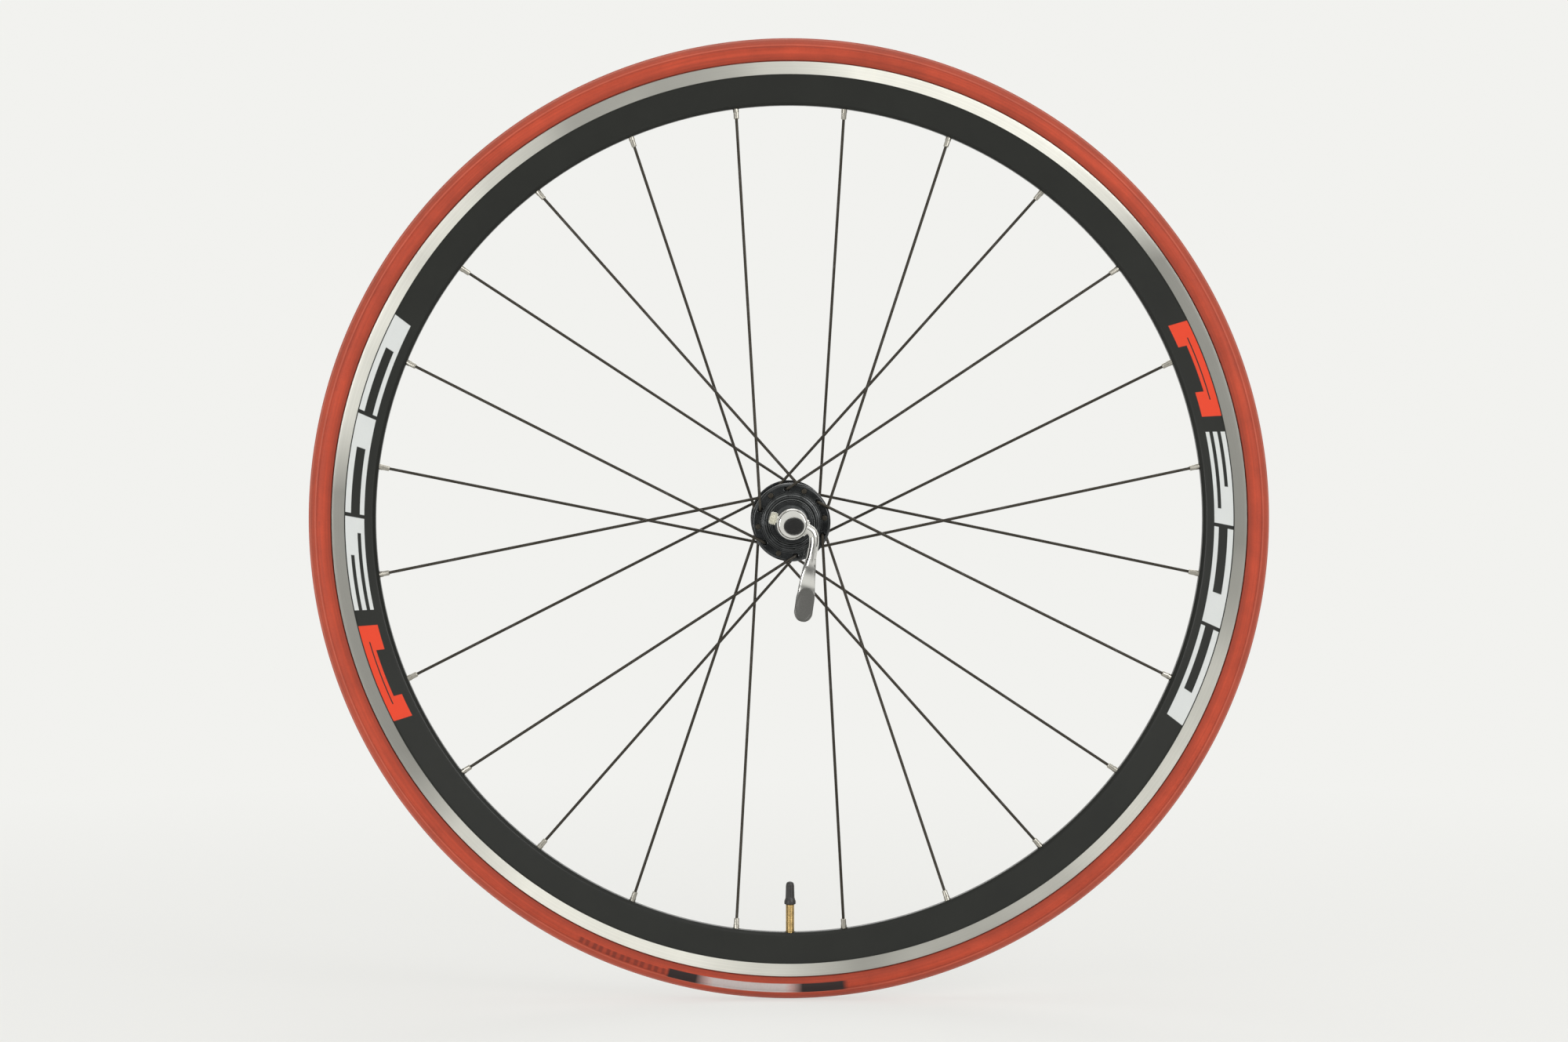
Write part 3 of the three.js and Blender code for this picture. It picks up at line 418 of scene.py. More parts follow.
class Finish(Shading):
    """One material and its shader."""

    def __init__(self, name, **uniform):
        self.material = bpy.data.materials.new(name)
        self.material.use_nodes = True
        super().__init__(self.material.node_tree)
        self.shader = self.tree.nodes["Principled BSDF"]
        self.finish(**uniform)

    def finish(self, **values):
        """Feeds values to the shader's sockets and returns the material."""
        for socket, value in values.items():
            self.feed(self.shader.inputs[socket.replace("_", " ")], value)
        return self.material

    def place(self):
        """The point in the piece's own frame, in metres."""
        return self.node("ShaderNodeTexCoord", output="Object")

    def axes(self):
        """The point's x, y and z in millimetres."""
        scaled = self.node("ShaderNodeVectorMath", {"operation": "SCALE"}, {0: self.place(), "Scale": 1 / MM})
        split = self.node("ShaderNodeSeparateXYZ", None, {0: scaled}).socket.node
        return [Value(self, socket) for socket in split.outputs]

    def mark(self):
        """The piece's own mark attribute, from 0 to 1."""
        return self.node("ShaderNodeAttribute", {"attribute_name": "mark"}, output="Fac")

    def noise(self, scale, detail, roughness=0.55, at=None, distortion=0.0):
        """Fractal noise at so many cells to the metre."""
        return self.node("ShaderNodeTexNoise", {"noise_dimensions": "3D"}, {
            "Vector": at or self.place(), "Scale": scale, "Detail": detail, "Roughness": roughness,
            "Distortion": distortion})

    def lines(self, value, scale):
        """Noise along one value only, which draws lines wherever that value is the same."""
        return self.node("ShaderNodeTexNoise", {"noise_dimensions": "1D"}, {
            "W": value, "Scale": scale, "Detail": 2.0})

    def rise(self, value, start, end):
        """A straight rise from 0 to 1 as the value goes from start to end."""
        return self.node("ShaderNodeMapRange", None, {"Value": value, "From Min": start, "From Max": end})

    def band(self, value, low, high, soft):
        """1 between two values and 0 outside them, with soft edges."""
        return self.rise(value, low - soft, low + soft) * (1 - self.rise(value, high - soft, high + soft))

    def mix(self, factor, first, second):
        """A blend of two colours."""
        return self.node("ShaderNodeMix", {"data_type": "RGBA"}, {0: factor, 6: first, 7: second}, output=2)

    def bump(self, height, distance, strength):
        """A normal from a height; distance is how far a height of 1 stands out, in metres."""
        return self.node("ShaderNodeBump", None, {
            "Height": height, "Distance": distance, "Strength": strength})


def shaded(colour, share):
    """A colour made darker or lighter by a share."""
    return tuple(min(1.0, part * share) for part in colour)


def metal_finish(name, colour, roughness, grime=0.25):
    """Metal with cloudy dullness, darker specks of grime and fine scratches."""
    f = Finish(name, Metallic=1.0)
    cloud, speck = f.noise(225, 4), f.noise(3600, 2)
    dirt = f.rise(cloud * 0.7 + speck * 0.3, 0.44, 0.72) * grime
    return f.finish(
        Base_Color=f.mix(dirt, colour, shaded(colour, 0.35)),
        Roughness=roughness * 0.75 + cloud * roughness * 0.5 + dirt * 0.3,
        Normal=f.bump(f.noise(2250, 3, distortion=0.6), 0.00002, 0.5))


def plastic_finish(name, colour, roughness, cells, bump, **uniform):
    """Moulded plastic or rubber with a faint grain and slightly uneven gloss."""
    f = Finish(name, Metallic=0.0, **uniform)
    grain, cloud = f.noise(cells * 3, 3), f.noise(cells * 0.3, 3)
    return f.finish(
        Base_Color=f.mix(cloud, shaded(colour, 0.75), shaded(colour, 1.3)),
        Roughness=roughness * 0.8 + grain * roughness * 0.4,
        Normal=f.bump(grain, bump, 0.6))


# Colours of wear and print, and of painted shade, sheen, highlight and reflection, which lie over the colours
# of the settings.
# The tyre's next colours: a paler crown, painted shade by its grooves and painted sheen on its ridges.
PALE_CROWN_RUBBER, GROOVE_SHADE_RUBBER = (0.56, 0.15, 0.095), (0.17, 0.03, 0.018)
RIDGE_SHEEN_RUBBER, LINE_RUBBER = (0.66, 0.28, 0.21), (0.18, 0.035, 0.022)
STRIP_RED, STRIP_DARK, STRIP_SILVER = (0.085, 0.014, 0.010), (0.020, 0.012, 0.011), (0.50, 0.49, 0.48)
# The first colour on the next line is the hub's painted edge highlight.
EDGE_HIGHLIGHT, BARE_WIRE = (0.20, 0.21, 0.21), (0.16, 0.155, 0.15)
# Greys for the chrome's marked areas: painted reflection on the lever's dull tones, painted shade in the
# head's groove, and the lever's dish.
MARKED_DARK_GREY, MARKED_PALE_GREY = (0.10, 0.10, 0.095), (0.19, 0.187, 0.178)


def tyre_finish(colours):
    """Coloured rubber, mottled with brake dust and drawn into faint lines round the wheel, with a plain
    printed strip along the lower part of the lever side."""
    f = Finish("tyre_rubber", Metallic=0.0, Sheen_Weight=0.10, Sheen_Roughness=0.4, Specular_IOR_Level=0.30)
    x, y, z = f.axes()
    radius = (x * x + z * z) ** 0.5
    angle = f.math("ARCTAN2", z, x) * DEGREES
    # Brake dust: clouds, and smears drawn out round the wheel.
    smear = f.node("ShaderNodeCombineXYZ", None, {0: angle * 0.10, 1: radius * 0.9, 2: y * 0.9})
    streak = f.noise(0.7, 5, at=smear)
    cloud, speck = f.noise(38, 5, 0.6), f.noise(700, 3, 0.6)
    dust = f.rise(cloud * 0.45 + streak * 0.4 + speck * 0.15, 0.34, 0.66)
    rubber = f.mix(dust, shaded(colours.tyre, 0.66), shaded(colours.tyre, 1.16))
    # Paler rubber towards the crown, painted shade in two dark lines by the grooves, painted sheen on two
    # pale ridges beside them and painted shade on the darker foot beside the rim.
    crown = f.rise(radius, CROWN_RADIUS - 7, CROWN_RADIUS)
    rubber = f.mix(crown * 0.35 * (0.5 + speck), rubber, PALE_CROWN_RUBBER)
    groove_shade = f.band(radius, 327.0, 327.4, 0.2) * 0.55 | f.band(radius, 330.9, 331.2, 0.2) * 0.35
    rubber = f.mix(groove_shade, rubber, GROOVE_SHADE_RUBBER)
    ridge_sheen = f.band(radius, 328.0, 328.4, 0.3) | f.band(radius, 331.8, 332.4, 0.3) * 1.3
    rubber = f.mix(ridge_sheen * (0.18 + cloud * 0.25), rubber, RIDGE_SHEEN_RUBBER)
    # The rubber beside the rim is darkened: painted shade.
    foot = 1 - f.rise(radius, RIM_EDGE + 0.5, RIM_EDGE + 5.5)
    rubber = f.mix(foot * 0.55, rubber, shaded(colours.tyre, 0.42))
    # The strip: a dark red length, a silver middle that fades at both ends and a dark end.
    lever_side = 1 - f.rise(y, -6.5, -5.5)
    strip = f.band(radius, 321.8, 328.0, 0.15) * lever_side
    rib = f.band(f.math("PINGPONG", angle, 0.9), 0.25, 0.75, 0.1)
    print_red = strip * f.band(angle, -117.0, -105.4, 0.3) * f.band(radius, 322.8, 327.0, 0.15)
    print_red = print_red * (0.35 + 0.5 * rib)
    silver = strip * f.band(angle, -100.6, -89.6, 1.1)
    dark = strip * (f.band(angle, -105.2, -100.0, 0.2) | f.band(angle, -89.8, -83.2, 0.4))
    base = f.mix(print_red * 0.75, rubber, STRIP_RED)
    base = f.mix(dark * (1 - silver), base, STRIP_DARK)
    base = f.mix(silver * (0.72 + 0.28 * speck), base, STRIP_SILVER)
    lines, broad = f.lines(radius + y * 0.37, 1.6), f.lines(radius - y * 0.21, 0.55)
    base = f.mix(f.rise(lines * 0.6 + broad * 0.4, 0.42, 0.62) * 0.22 * (1 - strip), base, LINE_RUBBER)
    return f.finish(
        Base_Color=base,
        Roughness=0.54 + dust * 0.16 - silver * 0.2 + crown * 0.1,
        Normal=f.bump(lines * 0.55 + speck * 0.3 + strip * 0.15, 0.00010, 0.7))


# Start and end angle of each printed panel on the rim, in degrees; the other half of the rim repeats them.
PALE_PANELS = ((152.6, 165.6), (166.1, 179.0), (179.5, 191.8))
RED_PANEL = (193.9, 207.0)
PANEL_RADII = (294.6, 307.4)


def rim_finish(colours):
    """A machined brake track over glossy black paint, with plain printed panels on the flanks. The panels are
    areas of angle and radius, each with bars of the paint left open in it. The track's light and dark streaks
    round the wheel are painted reflection."""
    f = Finish("rim_paint_and_track", Coat_Roughness=0.06, Specular_IOR_Level=0.24)
    x, y, z = f.axes()
    radius = (x * x + z * z) ** 0.5
    angle = f.math("ARCTAN2", z, x) * DEGREES
    # Angles of both halves fall together, counted from 90 to 270, and lean with the radius.
    slanted = (angle + 90) % 180 + 90 + (radius - 301) * 0.035
    across = f.band(radius, *PANEL_RADII, 0.12)

    def bar(start, end, inner, outer):
        return f.band(slanted, start, end, 0.05) * f.band(radius, inner, outer, 0.12)

    pale = sum(f.band(slanted, *ends, 0.04) * across for ends in PALE_PANELS)
    first, second, third = PALE_PANELS
    pale = pale * (1 - (bar(first[0] + 4.2, first[1] + 0.1, 297.6, 303.6)
                        | bar(second[0] + 4.2, second[1] + 0.1, 297.6, 303.6)
                        | (bar(third[0] + 2.0, third[1] + 0.1, 297.0, 299.3)
                           | bar(third[0] + 5.0, third[1] + 0.1, 302.2, 304.5))))
    red = f.band(slanted, *RED_PANEL, 0.04) * across
    red = red * (1 - (bar(RED_PANEL[0] + 3.4, RED_PANEL[1] - 3.2, 294.0, 300.2)
                      | bar(RED_PANEL[0] + 2.2, RED_PANEL[1] - 2.2, 302.4, 303.2)))
    track = f.band(radius, TRACK_FOOT + 0.15, RIM_EDGE + 1, 0.1)
    track = track * f.rise(abs(y), RIM_HALF - 1.2, RIM_HALF - 0.8)
    fine, coarse = f.lines(radius, 2.6), f.lines(radius, 1.6)
    cloud, speck = f.noise(30, 4), f.noise(1800, 2)
    wear = f.rise(cloud * 0.5 + coarse * 0.5, 0.38, 0.7)
    # Painted reflection: broad soft light and dark streaks on the track, two and four of them round the
    # wheel.
    around = angle * (1 / DEGREES)
    two, four = f.math("COSINE", around * 2), f.math("COSINE", around * 4 - 4.33)
    streak = 0.5 - two * 0.22 + four * 0.28
    reflection_patch = f.rise(f.noise(9.0, 2) * 0.35 + streak * 0.65, 0.36, 0.70)
    track_reflection = f.mix(reflection_patch, shaded(colours.track, 0.29), colours.track)
    machined = f.mix(wear * 0.22, track_reflection, shaded(colours.track, 0.36))
    paint = f.mix(cloud, colours.paint, shaded(colours.paint, 1.7))
    print_white = f.mix(speck * 0.4, colours.white_panel, shaded(colours.white_panel, 0.86))
    printed = f.mix(pale, f.mix(red, paint, colours.red_panel), print_white)
    rough_paint = 0.30 + speck * 0.12 + (pale | red) * 0.12
    return f.finish(
        Base_Color=f.mix(track, printed, machined),
        Metallic=track,
        Roughness=rough_paint * (1 - track) + track * (0.36 + fine * 0.14),
        Coat_Weight=0.10 * (1 - track),
        Normal=f.bump(fine * track + speck * 0.4 * (1 - track), 0.00002, 0.5))


def hub_finish(colours):
    """Glossy black anodising with turning lines round the axle and dulled specks, with painted highlights on
    two turned edges and painted groove shade between them.
    """
    f = Finish("hub_black", Metallic=0.75, Coat_Weight=0.6, Coat_Roughness=0.05)
    x, y, z = f.axes()
    radius = (x * x + z * z) ** 0.5
    turning, cloud, speck = f.lines(radius + y, 6.0), f.noise(160, 4), f.noise(2600, 2)
    # Painted highlights on two turned edges and painted shade of a groove between them, on the end faces and
    # stronger towards the top.
    face = f.rise(abs(y), 35.0, 36.0) * f.rise(z + cloud * 30, -4, 30)
    edges = (f.band(radius, 15.35, 16.0, 0.15) | f.band(radius, 18.1, 18.75, 0.15)) * face
    groove = f.band(radius, 16.2, 16.8, 0.15) * face
    dulled = f.rise(cloud * 0.85 + speck * 0.15, 0.4, 0.7) * 0.8
    black = f.mix(dulled, colours.hub, shaded(colours.hub, 2.2))
    black = f.mix(groove * 0.8, black, shaded(colours.hub, 0.25))
    return f.finish(
        Base_Color=f.mix(edges, black, EDGE_HIGHLIGHT),
        Roughness=0.12 + cloud * 0.12 + speck * 0.03,
        Normal=f.bump(turning, 0.000004, 0.3))


def spoke_finish(colours):
    """Black steel wire, rubbed a little brighter in places."""
    f = Finish("spoke_black", Metallic=0.7)
    rub, speck = f.noise(90, 4), f.noise(3000, 2)
    bare = f.rise(rub * 0.7 + speck * 0.3, 0.55, 0.8)
    return f.finish(
        Base_Color=f.mix(bare * 0.5, colours.spoke, BARE_WIRE),
        Roughness=0.34 + speck * 0.2,
        Normal=f.bump(speck, 0.00002, 0.5))


def chrome_finish(colours):
    """Polished chrome; where the piece carries its mark the metal is a dull dark grey: painted reflection in
    the lever's soft dull tones, painted shade in the head's groove, and the same grey in the lever's dish.
    """
    f = Finish("polished_chrome", Metallic=1.0)
    mark, cloud, grit = f.mark(), f.noise(120, 4), f.noise(5200, 3)
    hair = f.noise(900, 2, distortion=1.5)
    polished = f.mix(cloud * 0.6, colours.chrome, shaded(colours.chrome, 0.72))
    return f.finish(
        Base_Color=f.mix(mark, polished, f.mix(grit, MARKED_DARK_GREY, MARKED_PALE_GREY)),
        Roughness=0.03 + cloud * 0.04 + mark * 0.33,
        Normal=f.bump(hair * 0.12 + grit * mark, 0.00003, 0.3))


def brass_finish(colours):
    """Brass of the valve with dull brown in its hollows."""
    f = Finish("valve_brass", Metallic=1.0)
    cloud, speck = f.noise(260, 4), f.noise(2400, 3)
    tarnish = f.rise(cloud * 0.6 + speck * 0.4, 0.4, 0.68)
    return f.finish(
        Base_Color=f.mix(tarnish, colours.brass, shaded(colours.brass, 0.5)),
        Roughness=0.26 + tarnish * 0.2,
        Normal=f.bump(speck, 0.00003, 0.5))


FINISHES = {}


def finishes():
    """The materials by the name of their slot, made once."""
    if not FINISHES:
        colours = bpy.context.scene.front_wheel_colours
        FINISHES.update(
            tyre_rubber=tyre_finish(colours),
            rim_black=rim_finish(colours),
            hub_black=hub_finish(colours),
            spoke_black=spoke_finish(colours),
            polished_chrome=chrome_finish(colours),
            valve_brass=brass_finish(colours),
            tube_rubber=plastic_finish("tube_rubber", (0.020, 0.020, 0.020), 0.62, 600, 0.00004),
            rim_tape_blue=plastic_finish("rim_tape_blue", (0.035, 0.16, 0.46), 0.5, 1500, 0.00006),
            black_plastic=plastic_finish("black_plastic", (0.024, 0.022, 0.021), 0.42, 900, 0.00005),
            clear_plastic=plastic_finish("clear_plastic", (0.70, 0.68, 0.55), 0.16, 500, 0.00002,
                                         Coat_Weight=0.8, Transmission_Weight=0.35, IOR=1.49),
            bearing_steel=metal_finish("bearing_steel", (0.62, 0.61, 0.60), 0.16),
            axle_steel=metal_finish("axle_steel", (0.50, 0.50, 0.51), 0.30, grime=0.4),
            bright_nickel=metal_finish("bright_nickel", (0.44, 0.42, 0.37), 0.26, grime=0.6),
            nut_alloy=metal_finish("nut_alloy", (0.76, 0.76, 0.77), 0.28),
        )
    return FINISHES


# ---------------------------------------------------------------- tyre, tube and tape
# The tyre's section: how far the crown stands over the oval's middle, how many degrees of the oval each
# side takes up, and where its tread lines lie.
TYRE_RISE = 10.7
TYRE_SWEEP = 119
TREAD_LINES = np.array([2.2, 4.6, 6.6])
TREAD_LINE_HALF = 0.22
TUBE_WALL = 0.9


def tyre_outline(sizes):
    """Half of the tyre's section. Outside it is an oval about a point below the crown, with fine
    grooves pressed into the tread and a shallow one on the shoulder; inside it follows the tube down to
    the bead."""
    half = sizes.tyre_width / MM / 2
    a = np.radians(np.linspace(0, TYRE_SWEEP, 61))
    radius, y = CROWN_RADIUS - TYRE_RISE + TYRE_RISE * np.cos(a), half * np.sin(a)
    press = bell(y[:, None], TREAD_LINES, TREAD_LINE_HALF).max(1) * (a < math.pi / 2)
    shoulder = 0.30 * bell(radius, 327.2, 0.45) * (a > math.radians(40))
    inward = sizes.groove_depth / MM * press + shoulder
    outside = np.column_stack([radius - inward * np.cos(a), y - inward * np.sin(a)])
    lip = RIM_HALF - 2.0
    inside = [(RIM_EDGE + 0.5, lip), (BEAD_SEAT + 0.3, lip), (BEAD_SEAT + 0.3, lip - 1.7),
              (RIM_EDGE - 0.3, lip - 1.7), (321.6, half - 1.7), (326.7, half * 0.9 - 1.7),
              (329.6, half * 0.4), (CROWN_RADIUS - 3.3, 0.01)]
    return mirrored(np.vstack([outside, rounded(inside, 0.7, closed=False)]))


def tube_outline(sizes, inset):
    """The air tube's section, or with an inset the section of the hollow in it."""
    half = sizes.tyre_width / MM / 2
    return rounded(mirrored([
        (329.2 - inset, half * 0.26 - inset * 0.4), (323.2, half - 2.5 - inset),
        (RIM_EDGE + 0.3, RIM_HALF - 4.6 - inset),
        (BEAD_SEAT + 0.9 + inset, RIM_HALF - 6.2 - inset * 0.5)]), 2.4, 7)


def tape_outline():
    """A flat strip on the floor of the rim's well."""
    half, inner, outer = RIM_HALF - 5, WELL_FLOOR + 0.3, WELL_FLOOR + 1
    return rounded([(inner, -half), (outer, -half), (outer, half), (inner, half)], 0.2, 4)


class WHEEL_OT_tyre(bpy.types.Operator):
    """Makes the tyre, the inner tube and the rim tape"""
    bl_idname = "wheel.tyre"
    bl_label = "Tyre, tube and tape"

    def execute(self, context):
        sizes = context.scene.front_wheel_sizes
        add_piece("tyre_casing", [revolved(tyre_outline(sizes), 540)], "wheel", "tyre_rubber", ["tyre"],
                  sharp=60)
        tube = [revolved(tube_outline(sizes, 0), 300),
                revolved(tube_outline(sizes, TUBE_WALL), 300, hollow=True)]
        add_piece("air_tube", tube, "wheel", "tube_rubber", ["inner_tube"])
        add_piece("well_tape", [revolved(tape_outline(), 360)], "wheel", "rim_tape_blue", ["rim_tape"])
        return {"FINISHED"}


# ---------------------------------------------------------------- spokes
# How far a spoke's head stands off its flange, and degrees from a spoke's rim hole to its hub hole.
HEAD_STAND = 1.3
HOLE_SPAN = 60


def spoke_route(index):
    """Where spoke number index runs: its flange side, head end, bend and point in the rim's wall. Every
    second rim hole belongs to the front flange; on each flange the spokes lean one way and the other in
    turn, and a spoke's hub hole is HOLE_SPAN degrees round from its rim hole."""
    where = "rear" if index % 2 else "front"
    side = SIDES[where]
    rim_angle = (index + 0.5) * 360 / SPOKE_COUNT
    forward = (index // 2) % 2 == 1
    hub_angle = rim_angle + (HOLE_SPAN if forward else -HOLE_SPAN)
    outside = forward == (side < 0)
    run = FLANGE_OUTER + 2 if outside else FLANGE_INNER - HEAD_STAND
    head = FLANGE_INNER - HEAD_STAND if outside else FLANGE_OUTER + HEAD_STAND
    return {
        "side": side, "tag": f"{where}_{index // 2 + 1:02d}", "hub_angle": hub_angle,
        "head": wheel_point(SPOKE_CIRCLE, hub_angle, side * head),
        "bend": wheel_point(SPOKE_CIRCLE, hub_angle, side * run),
        "rim": wheel_point(SPOKE_BED + INNER_WALL / 2, rim_angle, side * 0.6),
    }


ROUTES = [spoke_route(index) for index in range(SPOKE_COUNT)]
# Distances along a spoke's head end and the wire's radius at each; None is the wire's own radius.
HEAD_SHAPE = ((0, 1.25), (0.05, 1.7), (0.3, 1.9), (0.7, 1.9), (0.85, 1.75), (1.05, 1.3), (1.3, None))


def spoke_shell(route, radius):
    """A wire of round section along one line: out through the flange, round the elbow on a parabola and
    straight to the nipple. At its start the section spreads into the flat head."""
    head, bend, rim = route["head"], route["bend"], route["rim"]
    out, run = bend - head, rim - bend
    out_length, run_length = np.linalg.norm(out), np.linalg.norm(run)
    out, run = out / out_length, run / run_length
    turn = min(2.2, 0.85 * out_length)
    shank = np.array([place for place, _ in HEAD_SHAPE] + [max(1.4, out_length - turn - 0.05)])
    t = np.linspace(0, 1, 10)[:, None]
    elbow = (1 - t) ** 2 * (bend - out * turn) + 2 * t * (1 - t) * bend + t ** 2 * (bend + run * turn)
    reach = run_length - INNER_WALL / 2 - NIPPLE_REACH + 4
    along = np.linspace(turn + 2, reach, 24)[:, None]
    path = np.vstack([head + shank[:, None] * out, elbow, bend + along * run])
    size = np.full(len(path), radius)
    size[:len(HEAD_SHAPE)] = [wide or radius for _, wide in HEAD_SHAPE]
    return swept(path, size, size, np.cross(out, run), 10)


def nipple_shell(route, radius):
    """A nipple along its spoke's line. Outside the rim it has four wrench flats: the radius is at most
    the half width over the larger of the angle's cosine and sine. Its head seats in the rim."""
    line = route["rim"] - route["bend"]
    line /= np.linalg.norm(line)
    seat = NIPPLE_REACH + 3
    narrow = radius * 0.88
    profile = eased([(0, 0, 0), (radius * 0.80, 0, 0.15), (narrow, 0.5, 0.3), (radius, 4.6, 0.2),
                     (radius, seat, 0), (2.8, seat + 0.3, 0.3), (2.8, seat + 1.9, 0.7), (0, seat + 2.4, 0)],
                    4, closed=False)

    def flats(a, r, y):
        flat = narrow / np.maximum(np.abs(np.cos(a)), np.abs(np.sin(a)))
        return np.where(ease(y, 4.4, 4.9) < 0.5, np.minimum(r, flat), r), y

    start = route["rim"] - line * (INNER_WALL / 2 + NIPPLE_REACH)
    return laid(revolved(profile, 24, flats, closed=False), start, line, (0, 1, 0))


class WHEEL_OT_spokes(bpy.types.Operator):
    """Makes the spokes and their nipples"""
    bl_idname = "wheel.spokes"
    bl_label = "Spokes and nipples"

    def execute(self, context):
        sizes = context.scene.front_wheel_sizes
        for route in ROUTES:
            tag = route["tag"]
            add_piece(f"wire_{tag}", [spoke_shell(route, sizes.spoke_diameter / MM / 2)], "wheel",
                      "spoke_black", [f"spoke_{tag}"], sharp=50)
            add_piece(f"nipple_{tag}", [nipple_shell(route, sizes.nipple_diameter / MM / 2)], "wheel",
                      "bright_nickel")
        return {"FINISHED"}


# ---------------------------------------------------------------- rim
def bed_crossings():
    """Angle in degrees and y of the point where each spoke's line leaves the spoke bed."""
    bend = np.array([route["bend"] for route in ROUTES])
    rim = np.array([route["rim"] for route in ROUTES])
    line = (rim - bend) / np.linalg.norm(rim - bend, axis=1, keepdims=True)
    point = rim - line * (INNER_WALL / 2)
    return np.degrees(np.arctan2(point[:, 2], point[:, 0])), point[:, 1]


def rim_shells(sizes):
    """The rim's outside and its hollow, both carried round the axle. Columns lie close together near
    each hole, where the bed is pressed in round the nipple: the radius grows by the seat's depth times
    a smooth step of the distance from the hole's middle."""
    nose, track = 5.4, RIM_HALF
    half = [(SPOKE_BED, nose - 2.1), (SPOKE_BED + 2.3, nose), (TRACK_FOOT - 0.9, track - 0.12),
            (TRACK_FOOT, track), (RIM_EDGE, track), (RIM_EDGE, track - 1.7), (BEAD_SEAT, track - 1.7),
            (BEAD_SEAT, track - 3.7), (WELL_FLOOR, track - 4.7)]
    fillets = np.tile([1.6, 1.8, 0.5, 0.25, 0.45, 0.4, 0.3, 0.4, 0.6], 2)
    outline = divided(rounded(mirrored(half), fillets), 3.0)
    # The bed's own points give way to evenly spaced ones, close enough together for the seats.
    outline = outline[outline[:, 0] >= SPOKE_BED + 0.02]
    across = np.linspace(outline[-1, 1], outline[0, 1], 18)[1:-1]
    outline = np.vstack([outline, np.column_stack([np.full(len(across), SPOKE_BED), across])])
    hole_angle, hole_y = bed_crossings()
    hole_angle, hole_y = np.append(hole_angle, VALVE_ANGLE), np.append(hole_y, 0)
    nipple_hole, valve_hole = sizes.nipple_diameter / MM / 2 + 0.55, 3.5
    hole_radius = np.append(np.full(SPOKE_COUNT, nipple_hole), valve_hole)
    near = (hole_angle[:, None] + np.linspace(-0.9, 0.9, 17)).ravel()
    angles = np.unique(np.round(np.concatenate([near % 360, np.arange(0, 360, 1.6)]), 2))

    def seats(a, r, y):
        turn = (np.degrees(a)[..., None] - hole_angle + 180) % 360 - 180
        apart = np.hypot(np.radians(turn) * SPOKE_BED, y[..., None] - hole_y)
        press = ease(hole_radius + 0.25 - apart, 0, 0.5).max(-1)
        return r + sizes.nipple_seat / MM * press * (r < SPOKE_BED + 1), y

    cavity = [(SPOKE_BED + INNER_WALL, 3.7), (SPOKE_BED + 3.5, 4.2), (WELL_FLOOR - 1.1, 8.6)]
    return [revolved(outline, angles=np.radians(angles), change=seats),
            revolved(rounded(mirrored(cavity), 0.8, 4), 180, hollow=True)]


class WHEEL_OT_rim(bpy.types.Operator):
    """Makes the rim with a recess round every nipple and round the valve"""
    bl_idname = "wheel.rim"
    bl_label = "Rim"

    def execute(self, context):
        add_piece("rim_hoop", rim_shells(context.scene.front_wheel_sizes), "wheel", "rim_black", ["rim"],
                  sharp=40)
        return {"FINISHED"}


# ---------------------------------------------------------------- hub
# Corners (radius, y) of half the hub shell, with the fillet at each.
HUB_CORNERS = (
    (14.2, 0, 0), (13.6, 12, 5), (14.2, 22, 5), (17.2, 31, 2.5), (19.2, FLANGE_INNER, 1.2),
    (FLANGE_RADIUS, FLANGE_INNER, 0.4), (FLANGE_RADIUS, FLANGE_OUTER - 1.1, 0.35),
    (FLANGE_RADIUS - 1.2, FLANGE_OUTER, 0.35), (20.9, FLANGE_OUTER, 0.2), (20.6, FLANGE_OUTER - 0.3, 0.12),
    (20.2, FLANGE_OUTER - 0.3, 0.12), (19.9, FLANGE_OUTER, 0.2), (18.7, FLANGE_OUTER, 0.5), (18.2, 37.2, 0.5),
    (17.6, 39.1, 0.35), (15.3, 39.1, 0.3), (15.3, 35.3, 0.2), (13.3, 35.3, 0.2), (13.3, 26.7, 0.2),
    (10.5, 26.7, 0.2), (10.5, 0, 0))
# Radii between which a flange's faces get extra lines for the spoke holes, and how many.
HOLE_BAND = (21.0, 25.0)
HOLE_BAND_LINES = 13


